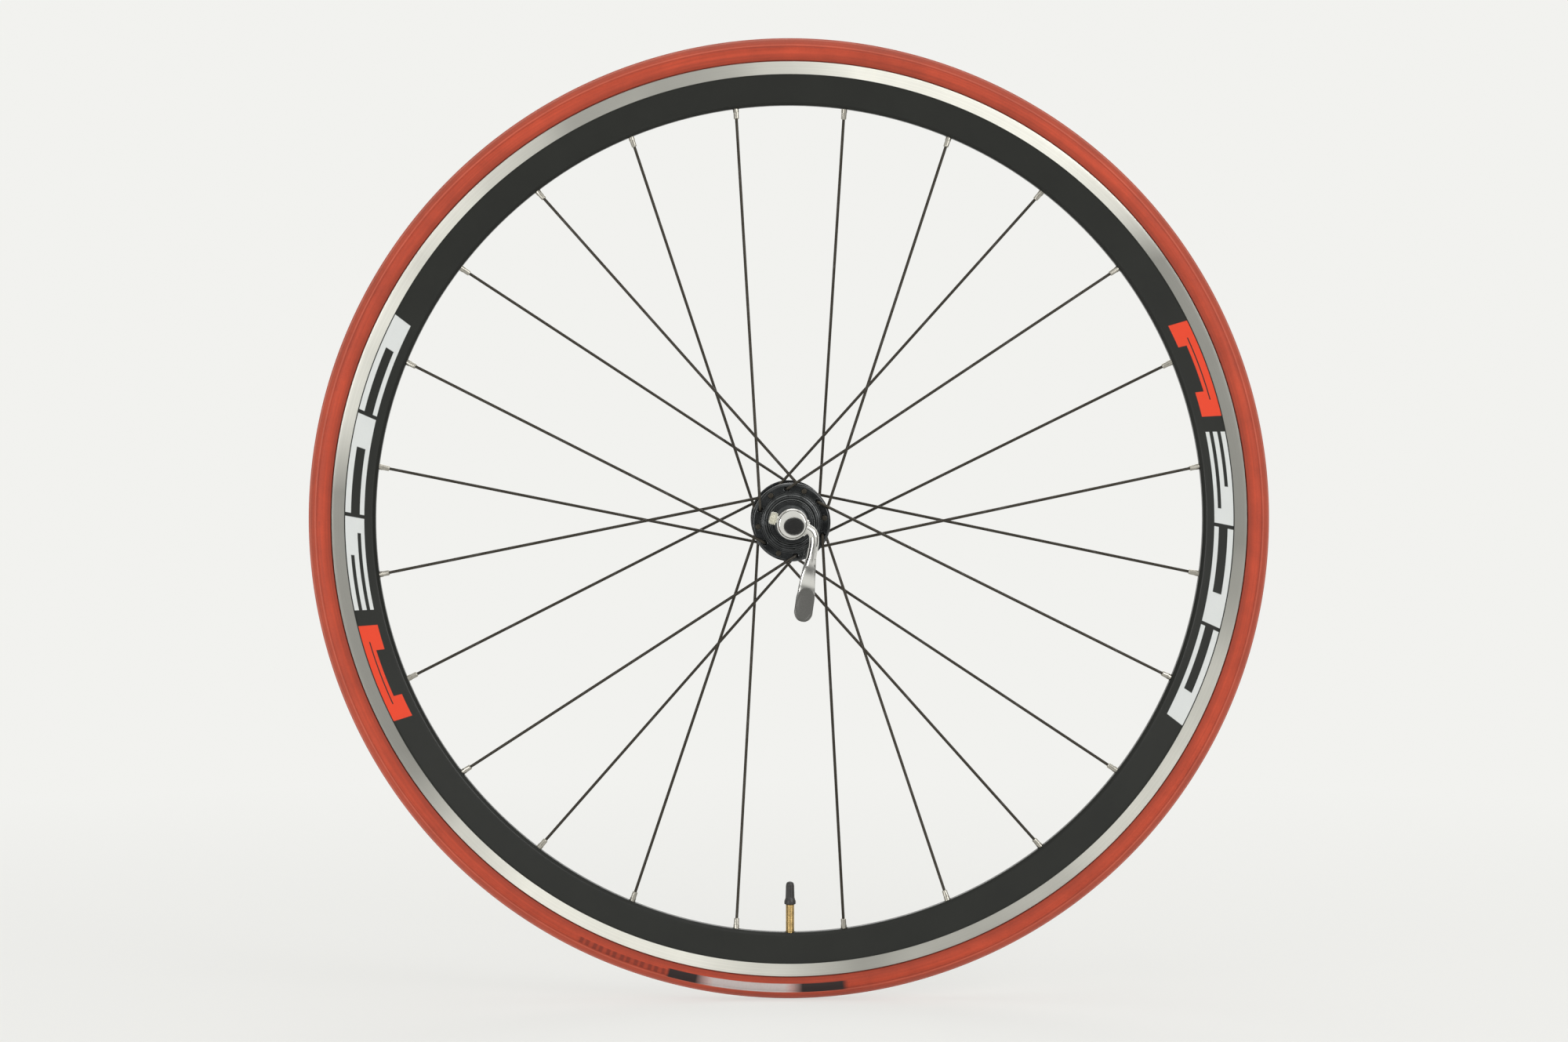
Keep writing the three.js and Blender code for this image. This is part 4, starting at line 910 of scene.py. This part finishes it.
def hub_shell():
    """The hub shell's section carried round the axle. The flange faces are pressed in at each spoke
    hole by a smooth step of the distance from the hole's middle."""
    line = divided(eased(HUB_CORNERS, closed=False), 1.8, closed=False)
    # On both faces of a flange the part with the holes gets lines of its own, close together.
    near_holes = (line[:, 0] > HOLE_BAND[0] - 0.1) & (line[:, 0] < HOLE_BAND[1] + 0.2)
    inner, outer = (near_holes & (np.abs(line[:, 1] - face) < 0.05) for face in (FLANGE_INNER, FLANGE_OUTER))
    fine = np.linspace(*HOLE_BAND, HOLE_BAND_LINES)
    first, last = np.argmax(inner), np.argmax(outer)
    line = np.vstack([
        line[:first], np.column_stack([fine, np.full(len(fine), FLANGE_INNER)]),
        line[first + inner.sum():last], np.column_stack([fine[::-1], np.full(len(fine), FLANGE_OUTER)]),
        line[last + outer.sum():]])
    outline = np.vstack([line[:-1], line[::-1][:-1] * [1, -1]])
    angle = np.radians([route["hub_angle"] for route in ROUTES])
    side = np.array([route["side"] for route in ROUTES])
    hole_x, hole_z = SPOKE_CIRCLE * np.cos(angle), SPOKE_CIRCLE * np.sin(angle)

    def holes(a, r, y):
        x, z = r * np.cos(a), r * np.sin(a)
        apart = np.hypot(x[..., None] - hole_x, z[..., None] - hole_z)
        apart = np.where(np.sign(y)[..., None] == side, apart, np.inf)
        on_outer, on_inner = (np.abs(np.abs(y) - face) < 0.01 for face in (FLANGE_OUTER, FLANGE_INNER))
        press = ease(1.75 - apart, 0, 0.35).max(-1) * (on_outer | on_inner) * (r > 20.5)
        inward = np.where(on_outer, -1, 1) * np.sign(y)
        return r, y + inward * 1.2 * press

    return revolved(outline, 280, holes)


def dust_cap(side):
    """A dished disc with a rolled edge, between the shell and the cone."""
    corners = [(9.6, 37.5, 0.2), (14.1, 37.5, 0.2), (14.1, 35.6, 0.2), (15.0, 35.6, 0.2), (15.0, 38.5, 0.2),
               (14.6, 38.7, 0.2), (13.9, 38.6, 0.3), (13.3, 38.1, 0.4), (11.0, 38.15, 0.5), (10.3, 38.7, 0.3),
               (9.6, 38.7, 0.2)]
    return revolved(eased(corners) * [1, side], 144)


class WHEEL_OT_hub(bpy.types.Operator):
    """Makes the hub shell and its two dust caps, and finishes the cups and balls"""
    bl_idname = "wheel.hub"
    bl_label = "Hub shell and dust caps"

    def execute(self, context):
        add_piece("shell_of_hub", [hub_shell()], "wheel", "hub_black", ["hub_shell"], sharp=40)
        for where, side in SIDES.items():
            add_piece(f"dust_cover_{where}", [dust_cap(side)], "wheel", "hub_black", [f"dust_cap_{where}"],
                      sharp=40)
            for node in (f"bearing_cup_{where}", f"ball_ring_{where}"):
                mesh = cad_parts[node].data
                mesh.materials.clear()
                mesh.materials.append(finishes()["bearing_steel"])
        return {"FINISHED"}


# ---------------------------------------------------------------- axle
def cone(side):
    """A bearing cone: an arc under the balls, a shoulder and, towards the locknut, two wrench flats
    where z is cut off at half the flat width."""
    a = np.radians(np.linspace(180, 97, 12))
    arc = np.column_stack([9.2 + 2.63 * np.cos(a), 32 + 2.63 * np.sin(a)])
    shoulder = rounded([(8.9, 35.2), (8.9, 42.0), (4.8, 42.0)], 0.35, 4)
    outline = np.vstack([[(4.8, 29.4), (6.3, 29.4)], arc, shoulder])

    def flats(angle, r, y):
        cut = 7.5 / np.maximum(np.abs(np.sin(angle)), 1e-6)
        return np.where(np.abs(y) > 39.0, np.minimum(r, cut), r), y

    return revolved(outline * [1, side], 96, flats)


def locknut(side):
    """A round locknut; its clamping face has radial teeth, a ripple of the angle across the face."""
    outline = divided(rounded([(4.8, 43.6), (8.6, 43.6), (8.6, 49.9), (4.8, 49.9)], 0.4, 4), 1.0)

    def teeth(a, r, y):
        on_face = (np.abs(y) > 49.85) & (r > 5.4) & (r < 8.2)
        return r, y + side * 0.1 * np.cos(30 * a) * on_face

    return revolved(outline * [1, side], 240, teeth)


def lock_washer(side):
    """A plain flat ring between the cone and the locknut."""
    return revolved(rounded([(4.8, 42.3), (7.7, 42.3), (7.7, 43.3), (4.8, 43.3)], 0.2, 4) * [1, side], 96)


def axle_tube():
    """The hollow axle, with the same thread cut on both ends."""
    half = np.array([(4.5, 53.6), (4.2, 54.0), (3.0, 54.0)])
    outline = divided(np.vstack([half[::-1] * [1, -1], half]), 0.22)
    wave = threaded(1.0, 0.32, 24.0, 54.0, beyond=4.05)
    return revolved(outline, 32, lambda a, r, y: (wave(a, r, np.abs(y))[0], y))


class WHEEL_OT_axle(bpy.types.Operator):
    """Makes the threaded axle with its cones, lock washers and locknuts"""
    bl_idname = "wheel.axle"
    bl_label = "Axle, cones and locknuts"

    def execute(self, context):
        add_piece("axle_tube", [axle_tube()], "axle_set", "axle_steel", ["axle"], sharp=60)
        for where, side in SIDES.items():
            for part, shell, finish in (("cone", cone, None), ("locknut", locknut, None),
                                        ("lock_washer", lock_washer, "bright_nickel")):
                add_piece(f"{part}_{where}_turned", [shell(side)], "axle_set", "axle_steel",
                          [f"{part}_{where}"], finish=finish)
        return {"FINISHED"}


# ---------------------------------------------------------------- skewer
# The eye's middle, and the thickness of its wall.
EYE_Y = PIVOT_Y - 1
EYE_WALL = 1.6


def eye_shell():
    """The eye on the rod's end: a wall of square section carried round a rounded rectangle in Y and Z."""
    middle = rounded([(-4.4, -5.4), (4.4, -5.4), (4.4, 5.4), (-4.4, 5.4)], 1.6, 8)
    outward = middle - middle.mean(0)
    thin = outward / np.abs(outward).max(1, keepdims=True) * EYE_WALL / 2
    inner, outer = middle - thin, middle + thin
    loops = [(inner, -3), (outer, -3), (outer, 3), (inner, 3)]
    grid = np.stack([np.column_stack([np.full(len(line), x), line[:, 0] + EYE_Y, line[:, 1]])
                     for line, x in loops], 1)
    points, faces = shell_of(grid)
    return tilted(points), faces


SPRING_TURNS = 3
SPRING_WIRE_RADIUS = 0.42


def spring_shell(side):
    """A round wire along a cone-shaped coil: the radius grows evenly with the angle over its turns."""
    t = np.linspace(0, 1, 145)
    radius, a = 3.35 + 2.65 * t, SPRING_TURNS * TURN * t
    y = side * (54.75 + 5.1 * t)
    path = np.column_stack([radius * np.cos(a), y, radius * np.sin(a)])
    return swept(path, SPRING_WIRE_RADIUS, SPRING_WIRE_RADIUS, (0, 1, 0), 8)


def rod_shell():
    """The rod, threaded at the nut's end."""
    profile = np.array([(0, -62.3), (2.5, -62.3), (2.5, 68.6), (2.1, 69.0), (0, 69.0)])
    thread = threaded(0.8, 0.25, 40.0, 69.0, beyond=2.25)
    return revolved(divided(profile, 0.2, closed=False), 24, thread, closed=False)


class WHEEL_OT_rod(bpy.types.Operator):
    """Makes the skewer rod with its eye and the two cone-shaped springs"""
    bl_idname = "wheel.rod"
    bl_label = "Skewer rod and springs"

    def execute(self, context):
        add_piece("rod_and_eye", [rod_shell(), eye_shell()], "skewer", "axle_steel", ["skewer_rod"],
                  sharp=60)
        for where, side in SIDES.items():
            add_piece(f"cone_spring_{where}", [spring_shell(side)], "skewer", "bright_nickel",
                      [f"spring_{where}"], sharp=60)
        return {"FINISHED"}


# The head's outline from the dome's edge inwards: radius, y and fillet.
DOME_TOP, DOME_RADIUS = -74.5, 8.8
HEAD_CORNERS = (
    (9.1, -74.0, 0.15), (9.25, -73.4, 0.1), (9.4, -73.4, 0.1), (9.55, -73.7, 0.15), (10.6, -72.3, 0.9),
    (10.6, -57.6, 0.3), (10.2, -57.0, 0.2), (10.2, -56.0, 0.3), (6.85, -56.0, 0.3), (6.85, -60.6, 0.1),
    (7.2, -60.6, 0.1), (7.2, -72.6, 0.4), (0, -72.6, 0))
GROOVE_RADIUS, GROOVE_HALF = 9.35, 0.2


def head_shell(sizes):
    """The skewer head: a nearly flat dome of large radius, a sloping shoulder, a fine groove and a
    straight side, with the spring's pocket and the cam's room inside."""
    r = np.linspace(0, DOME_RADIUS, 18)
    dome = np.column_stack([r, DOME_TOP + r ** 2 / (2 * sizes.face_crown / MM)])
    shoulder = eased([(*dome[-1], 0), *HEAD_CORNERS], 6, closed=False)
    return revolved(np.vstack([dome[:-1], shoulder]), 144, closed=False)


def across_shell(outline, segments=64, change=None, y=PIVOT_Y):
    """A part turned about the lever's pivot line: outline gives (radius, distance along +X)."""
    turned = revolved(outline, segments, change, closed=False)
    points, faces = laid(turned, (0, y, 0), (1, 0, 0), (0, 1, 0))
    return tilted(points), faces


def boss_shell():
    """The round boss at the head's side, with a recess round the lever's shaft."""
    corners = [(0, 6.0, 0), (5.9, 6.0, 0), (5.9, 9.6, 0.6), (5.5, 10.5, 0.4), (4.7, 10.7, 0.1),
               (4.7, 9.0, 0), (0, 9.0, 0)]
    return across_shell(eased(corners, closed=False))


class WHEEL_OT_head(bpy.types.Operator):
    """Makes the polished skewer head"""
    bl_idname = "wheel.head"
    bl_label = "Skewer head"

    def execute(self, context):
        head, boss = head_shell(context.scene.front_wheel_sizes), boss_shell()
        x, y, z = head[0].T
        # The head's fine groove is marked dull grey: painted shade in the groove.
        groove = bell(np.hypot(x, z), GROOVE_RADIUS, GROOVE_HALF) * (y < DOME_TOP + 2)
        add_piece("skewer_head", [head, boss], "cam_housing", "polished_chrome", ["lever_housing"],
                  sharp=45, marks=np.concatenate([groove, np.zeros(len(boss[0]))]))
        return {"FINISHED"}


# The lever's middle line in x and z, and where its rounded tip ends and how long it is.
ARM = ((6.6, 0), (11.6, -0.2), (15.4, -2.2), (17.6, -7), (18.6, -14), (19.6, -22))
BLADE = ((20.6, -30), (22.0, -38), (23.4, -46), (24.5, -53), (25.2, -57.5), (25.6, -61.9))
TIP_DOWN = 61.9
TIP_LENGTH = 6.3
# The oval dish on the paddle: its middle in x and z, its half width and length, and its depth.
DISH_MIDDLE = (24.2, -50.2)
DISH_REACH = (5.9, 11.4)
DISH_DEPTH = 0.35
DISH_LEAN = math.atan2(5.9, 37.7)


def lever_y(down):
    """The y of the lever's middle at a distance down the arm: it swings towards the wheel with the
    1.6th power of the share of its length."""
    return PIVOT_Y + 4.5 * np.clip((down - 17) / 45, 0, 1) ** 1.6


def lever_shells():
    """The lever: an arm of round section that bends down beside the head and flattens into a paddle.
    Width and depth are functions of the distance down the arm, and near the tip the width follows a half
    circle. The paddle's face carries a shallow oval dish, marked dark grey with a margin round it, and the
    arm is marked with soft dull tones that are painted reflection. The cam and its shaft are bars along the
    pivot line."""
    line = smooth_path(ARM + BLADE, 150)
    down = -line[:, 1]
    path = np.column_stack([line[:, 0], lever_y(down), line[:, 1]])
    from_tip = np.clip((TIP_DOWN - down) / TIP_LENGTH, 0, 1)
    tip = np.sqrt(np.clip(1 - (1 - from_tip) ** 2, 0, 1))
    widen = np.clip((down - 18) / 37.7, 0, 1)
    half_width = np.maximum((3.4 + 2.9 * np.minimum(1, widen * 1.35) ** 0.8) * tip, 0.05)
    half_depth = 3.4 - 0.55 * ease(down, 14, 24) - 0.75 * ease(down, 24.2, 25.4)
    half_depth = np.maximum(half_depth * np.minimum(1, tip * 1.25), 0.05)
    squareness = 1 - 0.42 * ease(down, 22, 30)
    points, faces = swept(path, half_width, half_depth, (1, 0, 0.0001), 48, squareness)

    x, z = points[:, 0] - DISH_MIDDLE[0], points[:, 2] - DISH_MIDDLE[1]
    along = x * math.sin(DISH_LEAN) - z * math.cos(DISH_LEAN)
    aside = x * math.cos(DISH_LEAN) + z * math.sin(DISH_LEAN)
    wide, long = DISH_REACH
    dish = 1 - np.hypot(along / long, aside / wide)
    dish_edge = 1 - np.hypot(along / (long + 1.4), aside / (wide + 1.6))
    down = -points[:, 2]
    front = points[:, 1] < lever_y(down)
    arm_aside = points[:, 0] - np.interp(down, -path[:, 2], path[:, 0])
    # Soft dull tones on the arm and paddle: painted reflection.
    dull = 0.85 * bell(down, 26.0, 3.6) + 0.8 * bell(down, 39.0, 1.8)
    dull = dull + 0.7 * bell(arm_aside, 0.8, 0.8) * ease(down, 5, 9) * (1 - ease(down, 19, 22))
    mark = np.maximum(ease(dish_edge, 0, 0.08), dull) * front
    points[:, 1] += DISH_DEPTH * ease(dish, 0, 0.12) * front

    def bar(radius, start, end, y=PIVOT_Y):
        return across_shell(np.array([(0, start), (radius, start), (radius, end), (0, end)]), y=y)

    bars = [bar(4.6, 3.6, 11.2), bar(3.2, -3.6, 4.6, EYE_Y), bar(2.4, -14.8, 0)]
    marks = np.concatenate([mark, *(np.zeros(len(bar_points)) for bar_points, _ in bars)])
    return [(tilted(points), faces), *bars], marks


def shaft_cap():
    """The ribbed cap on the far end of the cam's shaft."""
    corners = [(0, -16.0, 0), (3.2, -16.0, 0.4), (4.2, -15.2, 0.5), (4.3, -12.4, 0.2), (3.9, -12.0, 0.2),
               (4.2, -11.6, 0.2), (4.2, -11.0, 0.2), (0, -11.0, 0)]
    grip = fluted(10, 0.45, -15.4, -12.6, beyond=2.0, soft=0.3)
    return across_shell(eased(corners, closed=False), 80, grip)


class WHEEL_OT_lever(bpy.types.Operator):
    """Makes the cam lever and the clear cap on the far end of its shaft"""
    bl_idname = "wheel.lever"
    bl_label = "Cam lever"

    def execute(self, context):
        shells, marks = lever_shells()
        add_piece("quick_release_lever", shells, "lever", "polished_chrome", ["cam_lever"], sharp=50,
                  marks=marks)
        add_piece("shaft_cap", [shaft_cap()], "lever", "clear_plastic", ["cam_end_cap"])
        return {"FINISHED"}


# The nut's outline: radius, y and fillet.
NUT_CORNERS = (
    (6.85, 57.5, 0.2), (9.6, 57.5, 0.4), (9.6, 61.5, 1.0), (7.6, 68.8, 0.9), (6.4, 70.0, 0.5),
    (5.1, 70.0, 0.2), (5.1, 67.0, 0.1), (2.9, 67.0, 0.1), (2.9, 60.6, 0.1), (6.85, 60.6, 0.1))


def nut_shell(flutes):
    """The nut: a tapering round body with finger grooves, and the bore with the lock ring's pocket."""
    grip = fluted(flutes, 1.3, 61.8, 69.4, beyond=5.28, soft=0.9)
    return revolved(divided(eased(NUT_CORNERS), 0.7), 180, grip)


def toothed_ring():
    """A flat ring whose face to the fork has radial teeth, a ripple of the angle across the face."""
    def teeth(a, r, y):
        return r, y + 0.1 * np.cos(36 * a) * (y < 56.15) * (r > 7.1) * (r < 9.3)

    outline = rounded([(6.85, 56.1), (9.6, 56.1), (9.6, 57.2), (6.85, 57.2)], 0.2, 4)
    return revolved(divided(outline, 0.6), 288, teeth)


class WHEEL_OT_nut(bpy.types.Operator):
    """Makes the fluted skewer nut, its lock insert and the toothed ring under it"""
    bl_idname = "wheel.nut"
    bl_label = "Skewer nut"

    def execute(self, context):
        flutes = context.scene.front_wheel_sizes.nut_flutes
        add_piece("fluted_nut", [nut_shell(flutes)], "nut", "nut_alloy", ["skewer_nut"])
        insert = rounded([(2.95, 67.3), (4.8, 67.3), (4.8, 70.0), (2.95, 70.0)], 0.25, 4)
        add_piece("lock_ring", [revolved(insert, 72)], "nut", "black_plastic", ["nut_lock_insert"])
        add_piece("toothed_ring", [toothed_ring()], "nut_slider", "bright_nickel", ["nut_face_ring"])
        return {"FINISHED"}


# ---------------------------------------------------------------- valve
def valve_part(outline, change, segments, closed=True):
    """A part turned about the valve's line, which points from the rim to the axle: outline gives
    (radius, height), with the height as z."""
    return laid(revolved(outline, segments, change, closed=closed), (0, 0, 0), (0, 0, 1))


def stem_shell():
    """The threaded stem with its foot in the tube and the thinner end for the core."""
    corners = [(1.2, -310.4, 0.1), (4.2, -310.4, 0.2), (4.2, -309.7, 0.2), (3.0, -309.4, 0.4),
               (3.0, -268.0, 0.35), (2.3, -267.9, 0.1), (2.3, -262.5, 0.3), (1.2, -262.5, 0.1)]
    thread = threaded(0.95, 0.16, -306.0, -268.0, beyond=2.7)
    return valve_part(divided(eased(corners, 4), 0.2), thread, 32)


def pin_shell():
    """The core's thin pin."""
    corners = [(0, -274.0, 0), (0.8, -274.0, 0.1), (0.8, -257.2, 0.2), (0, -256.9, 0)]
    return valve_part(eased(corners, 4, closed=False), None, 24, False)


def core_nut_shell():
    """The small knurled nut on the pin."""
    outline = rounded([(1.15, -261.0), (1.8, -261.0), (1.8, -259.1), (1.15, -259.1)], 0.15, 4)
    return valve_part(divided(outline, 0.4), fluted(16, 0.12, -260.8, -259.3, beyond=1.0, soft=0.1), 96)


# The cap's outline: radius, height above its foot and fillet.
CAP_FOOT = -267.7
CAP_CORNERS = (
    (2.65, 0, 0.1), (3.8, 0, 0.2), (4.0, 0.4, 0.2), (4.0, 2.2, 0.6), (3.3, 4.0, 0.6), (3.15, 5, 0.4),
    (2.9, 13.6, 0.9), (2.2, 15.3, 0.9), (0, 16, 0), (0, 11.8, 0), (2.65, 11.8, 0.1))


def cap_shell(ribs):
    """The cap: a flared foot, a slightly tapering body with grip ribs, and the hollow for the stem."""
    outline = divided(eased(np.array(CAP_CORNERS) + [0, CAP_FOOT, 0]), 0.6)
    grip = fluted(ribs, 0.28, CAP_FOOT + 4.6, CAP_FOOT + 13.4, beyond=2.2, soft=0.5)
    return valve_part(outline, grip, 140)


class WHEEL_OT_valve(bpy.types.Operator):
    """Makes the valve stem, its pin and nut, and the ribbed cap"""
    bl_idname = "wheel.valve"
    bl_label = "Valve and cap"

    def execute(self, context):
        ribs = context.scene.front_wheel_sizes.cap_ribs
        add_piece("threaded_stem", [stem_shell()], "wheel", "valve_brass", ["valve_stem"], sharp=60)
        add_piece("core_pin", [pin_shell()], "valve_pin", "valve_brass", ["valve_pin"])
        add_piece("core_nut", [core_nut_shell()], "valve_nut", "valve_brass", ["valve_nut"])
        add_piece("ribbed_cap", [cap_shell(ribs)], "valve_cap", "black_plastic", ["valve_cap"])
        return {"FINISHED"}


# ---------------------------------------------------------------- stage
# Share of the floor's glow beside the wheel, and where it is whole again, in millimetres from the axle.
FLOOR_GLOW, GLOW_START, GLOW_END = 0.66, 300.0, 1500.0
FLOOR_GAP = 0.0005
# In metres: half the floor's width, how far it runs to the front and back, its bend and its height.
FLOOR_HALF, FLOOR_FRONT, FLOOR_BACK, BEND_RADIUS, WALL_TOP = 14.0, -14.0, 6.0, 2.0, 9.0
WORLD_LIGHT = 0.42
CAMERA_TARGET = Vector((-0.0042, 0, -0.0005))
CLIP_END = 60
# Soft rectangular lights: place, the point they face, width, height and watts.
LIGHTS = (
    ("key_right", (1.7, -1.9, 0.9), (0, 0, -0.1), 1.6, 1.6, 30),
    ("fill_left", (-1.8, -1.9, 0.1), (0, 0, -0.15), 1.6, 0.8, 28),
    ("top", (0.1, 0.1, 2.6), (0, 0, 0), 2.4, 1.6, 15),
    ("back", (0.4, 2.4, 1.3), (0, 0, 0), 2.0, 1.4, 18),
)
# Oval cards seen only in polished metal: place, half sizes and tone. The dark one lies where the skewer
# head's face mirrors the camera; the others tone the lever and the rims of turned parts.
CARDS = (
    ("dark_card", (0.060, -1.5, -0.09), (0.180, 0.156), 0.04),
    ("grey_card_left", (-1.6, -0.7, 0.2), (0.9, 0.55), 0.07),
    ("grey_card_right", (1.5, -0.35, -0.05), (0.42, 0.9), 0.10),
)
CARD_POINTS = 48


def facing(way, axis):
    """The rotation that turns an axis, with Y up, to look along a direction."""
    return Vector(way).to_track_quat(axis, "Y").to_euler()


def floor_finish(colour):
    """Plain pale floor. To the camera and in gloss it is its own colour; near the wheel part of it is
    lit instead, which keeps the wheel's shadow."""
    f = Finish("pale_floor", Roughness=0.9, Base_Color=colour)
    glow = f.node("ShaderNodeEmission", None, {"Color": colour, "Strength": 1.0})
    x, y, _ = f.axes()
    away = f.rise((x * x + y * y) ** 0.5, GLOW_START, GLOW_END)
    share = f.direct_rays() * (FLOOR_GLOW + away * (1 - FLOOR_GLOW))
    shown = f.node("ShaderNodeMixShader", None, {0: share, 1: Value(f, f.shader.outputs[0]), 2: glow})
    f.feed(f.tree.nodes["Material Output"].inputs["Surface"], shown)
    return f.material


def add_floor(colour):
    """The floor runs back and bends up into the backdrop on a quarter circle."""
    bend = np.radians(np.linspace(0, 90, 25))
    curve = [FLOOR_BACK + BEND_RADIUS * np.sin(bend), BEND_RADIUS - BEND_RADIUS * np.cos(bend)]
    line = np.vstack([(FLOOR_FRONT, 0.0), np.column_stack(curve), (FLOOR_BACK + BEND_RADIUS, WALL_TOP)])
    floor_z = CAD_BOX[0].z - FLOOR_GAP
    grid = np.stack([np.column_stack([np.full(len(line), x), line[:, 0], line[:, 1] + floor_z])
                     for x in (-FLOOR_HALF, FLOOR_HALF)], 1)
    mesh = bpy.data.meshes.new("floor")
    mesh.from_pydata(grid.reshape(-1, 3), [], grid_faces(len(line), 2, False, False)[:, ::-1])
    mesh.shade_smooth()
    mesh.materials.append(floor_finish(colour))
    linked("floor", mesh)


def add_world(colour):
    """A plain world: the backdrop's colour where it is looked at, and dimmer as a light."""
    world = bpy.data.worlds.new("studio")
    bpy.context.scene.world = world
    world.use_nodes = True
    sky, background = Shading(world.node_tree), world.node_tree.nodes["Background"]
    sky.feed(background.inputs["Color"], colour)
    sky.feed(background.inputs["Strength"], WORLD_LIGHT + sky.direct_rays() * (1 - WORLD_LIGHT))


def add_light(name, place, target, width, height, power):
    """A soft rectangular light aimed at a point."""
    data = bpy.data.lights.new(name, "AREA")
    data.shape, data.size, data.size_y, data.energy = "RECTANGLE", width, height, power
    light = linked(name, data)
    light.location = place
    light.rotation_euler = facing(Vector(target) - Vector(place), "-Z")
    light.visible_camera = False


def add_card(name, place, half, tone):
    """An oval card that faces the wheel and shows in gloss only."""
    turn = np.linspace(0, TURN, CARD_POINTS, endpoint=False)
    mesh = bpy.data.meshes.new(name)
    mesh.from_pydata(np.stack([half[0] * np.cos(turn), half[1] * np.sin(turn), 0 * turn], 1), [],
                     [tuple(range(CARD_POINTS))])
    paint = Finish(name, Base_Color=(0, 0, 0), Roughness=1.0, Specular_IOR_Level=0.0,
                   Emission_Color=(tone, tone, tone), Emission_Strength=1.0)
    mesh.materials.append(paint.material)
    card = linked(name, mesh)
    card.location = place
    card.rotation_euler = facing(-Vector(place), "Z")
    card.visible_camera = card.visible_diffuse = card.visible_shadow = card.visible_transmission = False


def add_camera(stage):
    """The camera, on a sphere round its target."""
    data = bpy.data.cameras.new("camera")
    data.lens = data.sensor_width * stage.distance / stage.view_width
    data.clip_end = CLIP_END
    camera = linked("camera", data)
    across = math.cos(stage.elevation)
    back = Vector((math.sin(stage.azimuth) * across, -math.cos(stage.azimuth) * across,
                   math.sin(stage.elevation)))
    camera.location = CAMERA_TARGET + back * stage.distance
    camera.rotation_euler = facing(-back, "-Z")
    bpy.context.scene.camera = camera


class WHEEL_OT_stage(bpy.types.Operator):
    """Makes the floor, the lights, the world and the camera"""
    bl_idname = "wheel.stage"
    bl_label = "Stage"

    def execute(self, context):
        stage = context.scene.front_wheel_stage
        colour = tuple(stage.backdrop)
        add_floor(colour)
        add_world(colour)
        for light in LIGHTS:
            add_light(*light)
        for card in CARDS:
            add_card(*card)
        add_camera(stage)
        context.scene.view_settings.view_transform = "Standard"
        return {"FINISHED"}


class WHEEL_PT_panel(bpy.types.Panel):
    """Lists the settings and the pieces of the wheel"""
    bl_idname = "WHEEL_PT_panel"
    bl_label = "Front Wheel"
    bl_space_type = "VIEW_3D"
    bl_region_type = "UI"
    bl_category = "Front Wheel"

    def draw(self, context):
        for group in SETTINGS:
            box, settings = self.layout.box(), getattr(context.scene, group)
            for name in settings.__annotations__:
                box.prop(settings, name)
        for operator in OPERATORS:
            self.layout.operator(operator.bl_idname)


SETTINGS = {
    "front_wheel_sizes": FrontWheelSizes,
    "front_wheel_colours": FrontWheelColours,
    "front_wheel_stage": FrontWheelStage,
}
OPERATORS = (WHEEL_OT_stage, WHEEL_OT_tyre, WHEEL_OT_rim, WHEEL_OT_spokes, WHEEL_OT_hub, WHEEL_OT_axle,
             WHEEL_OT_rod, WHEEL_OT_head, WHEEL_OT_lever, WHEEL_OT_nut, WHEEL_OT_valve)


def register():
    for kind in (*SETTINGS.values(), *OPERATORS, WHEEL_PT_panel):
        bpy.utils.register_class(kind)
    for name, kind in SETTINGS.items():
        setattr(bpy.types.Scene, name, PointerProperty(type=kind))


def unregister():
    for name in SETTINGS:
        delattr(bpy.types.Scene, name)
    for kind in (WHEEL_PT_panel, *reversed(OPERATORS), *reversed(SETTINGS.values())):
        bpy.utils.unregister_class(kind)


def main():
    register()
    for operator in OPERATORS:
        getattr(bpy.ops.wheel, operator.bl_idname.split(".")[1])()


if __name__ == "__main__":
    main()
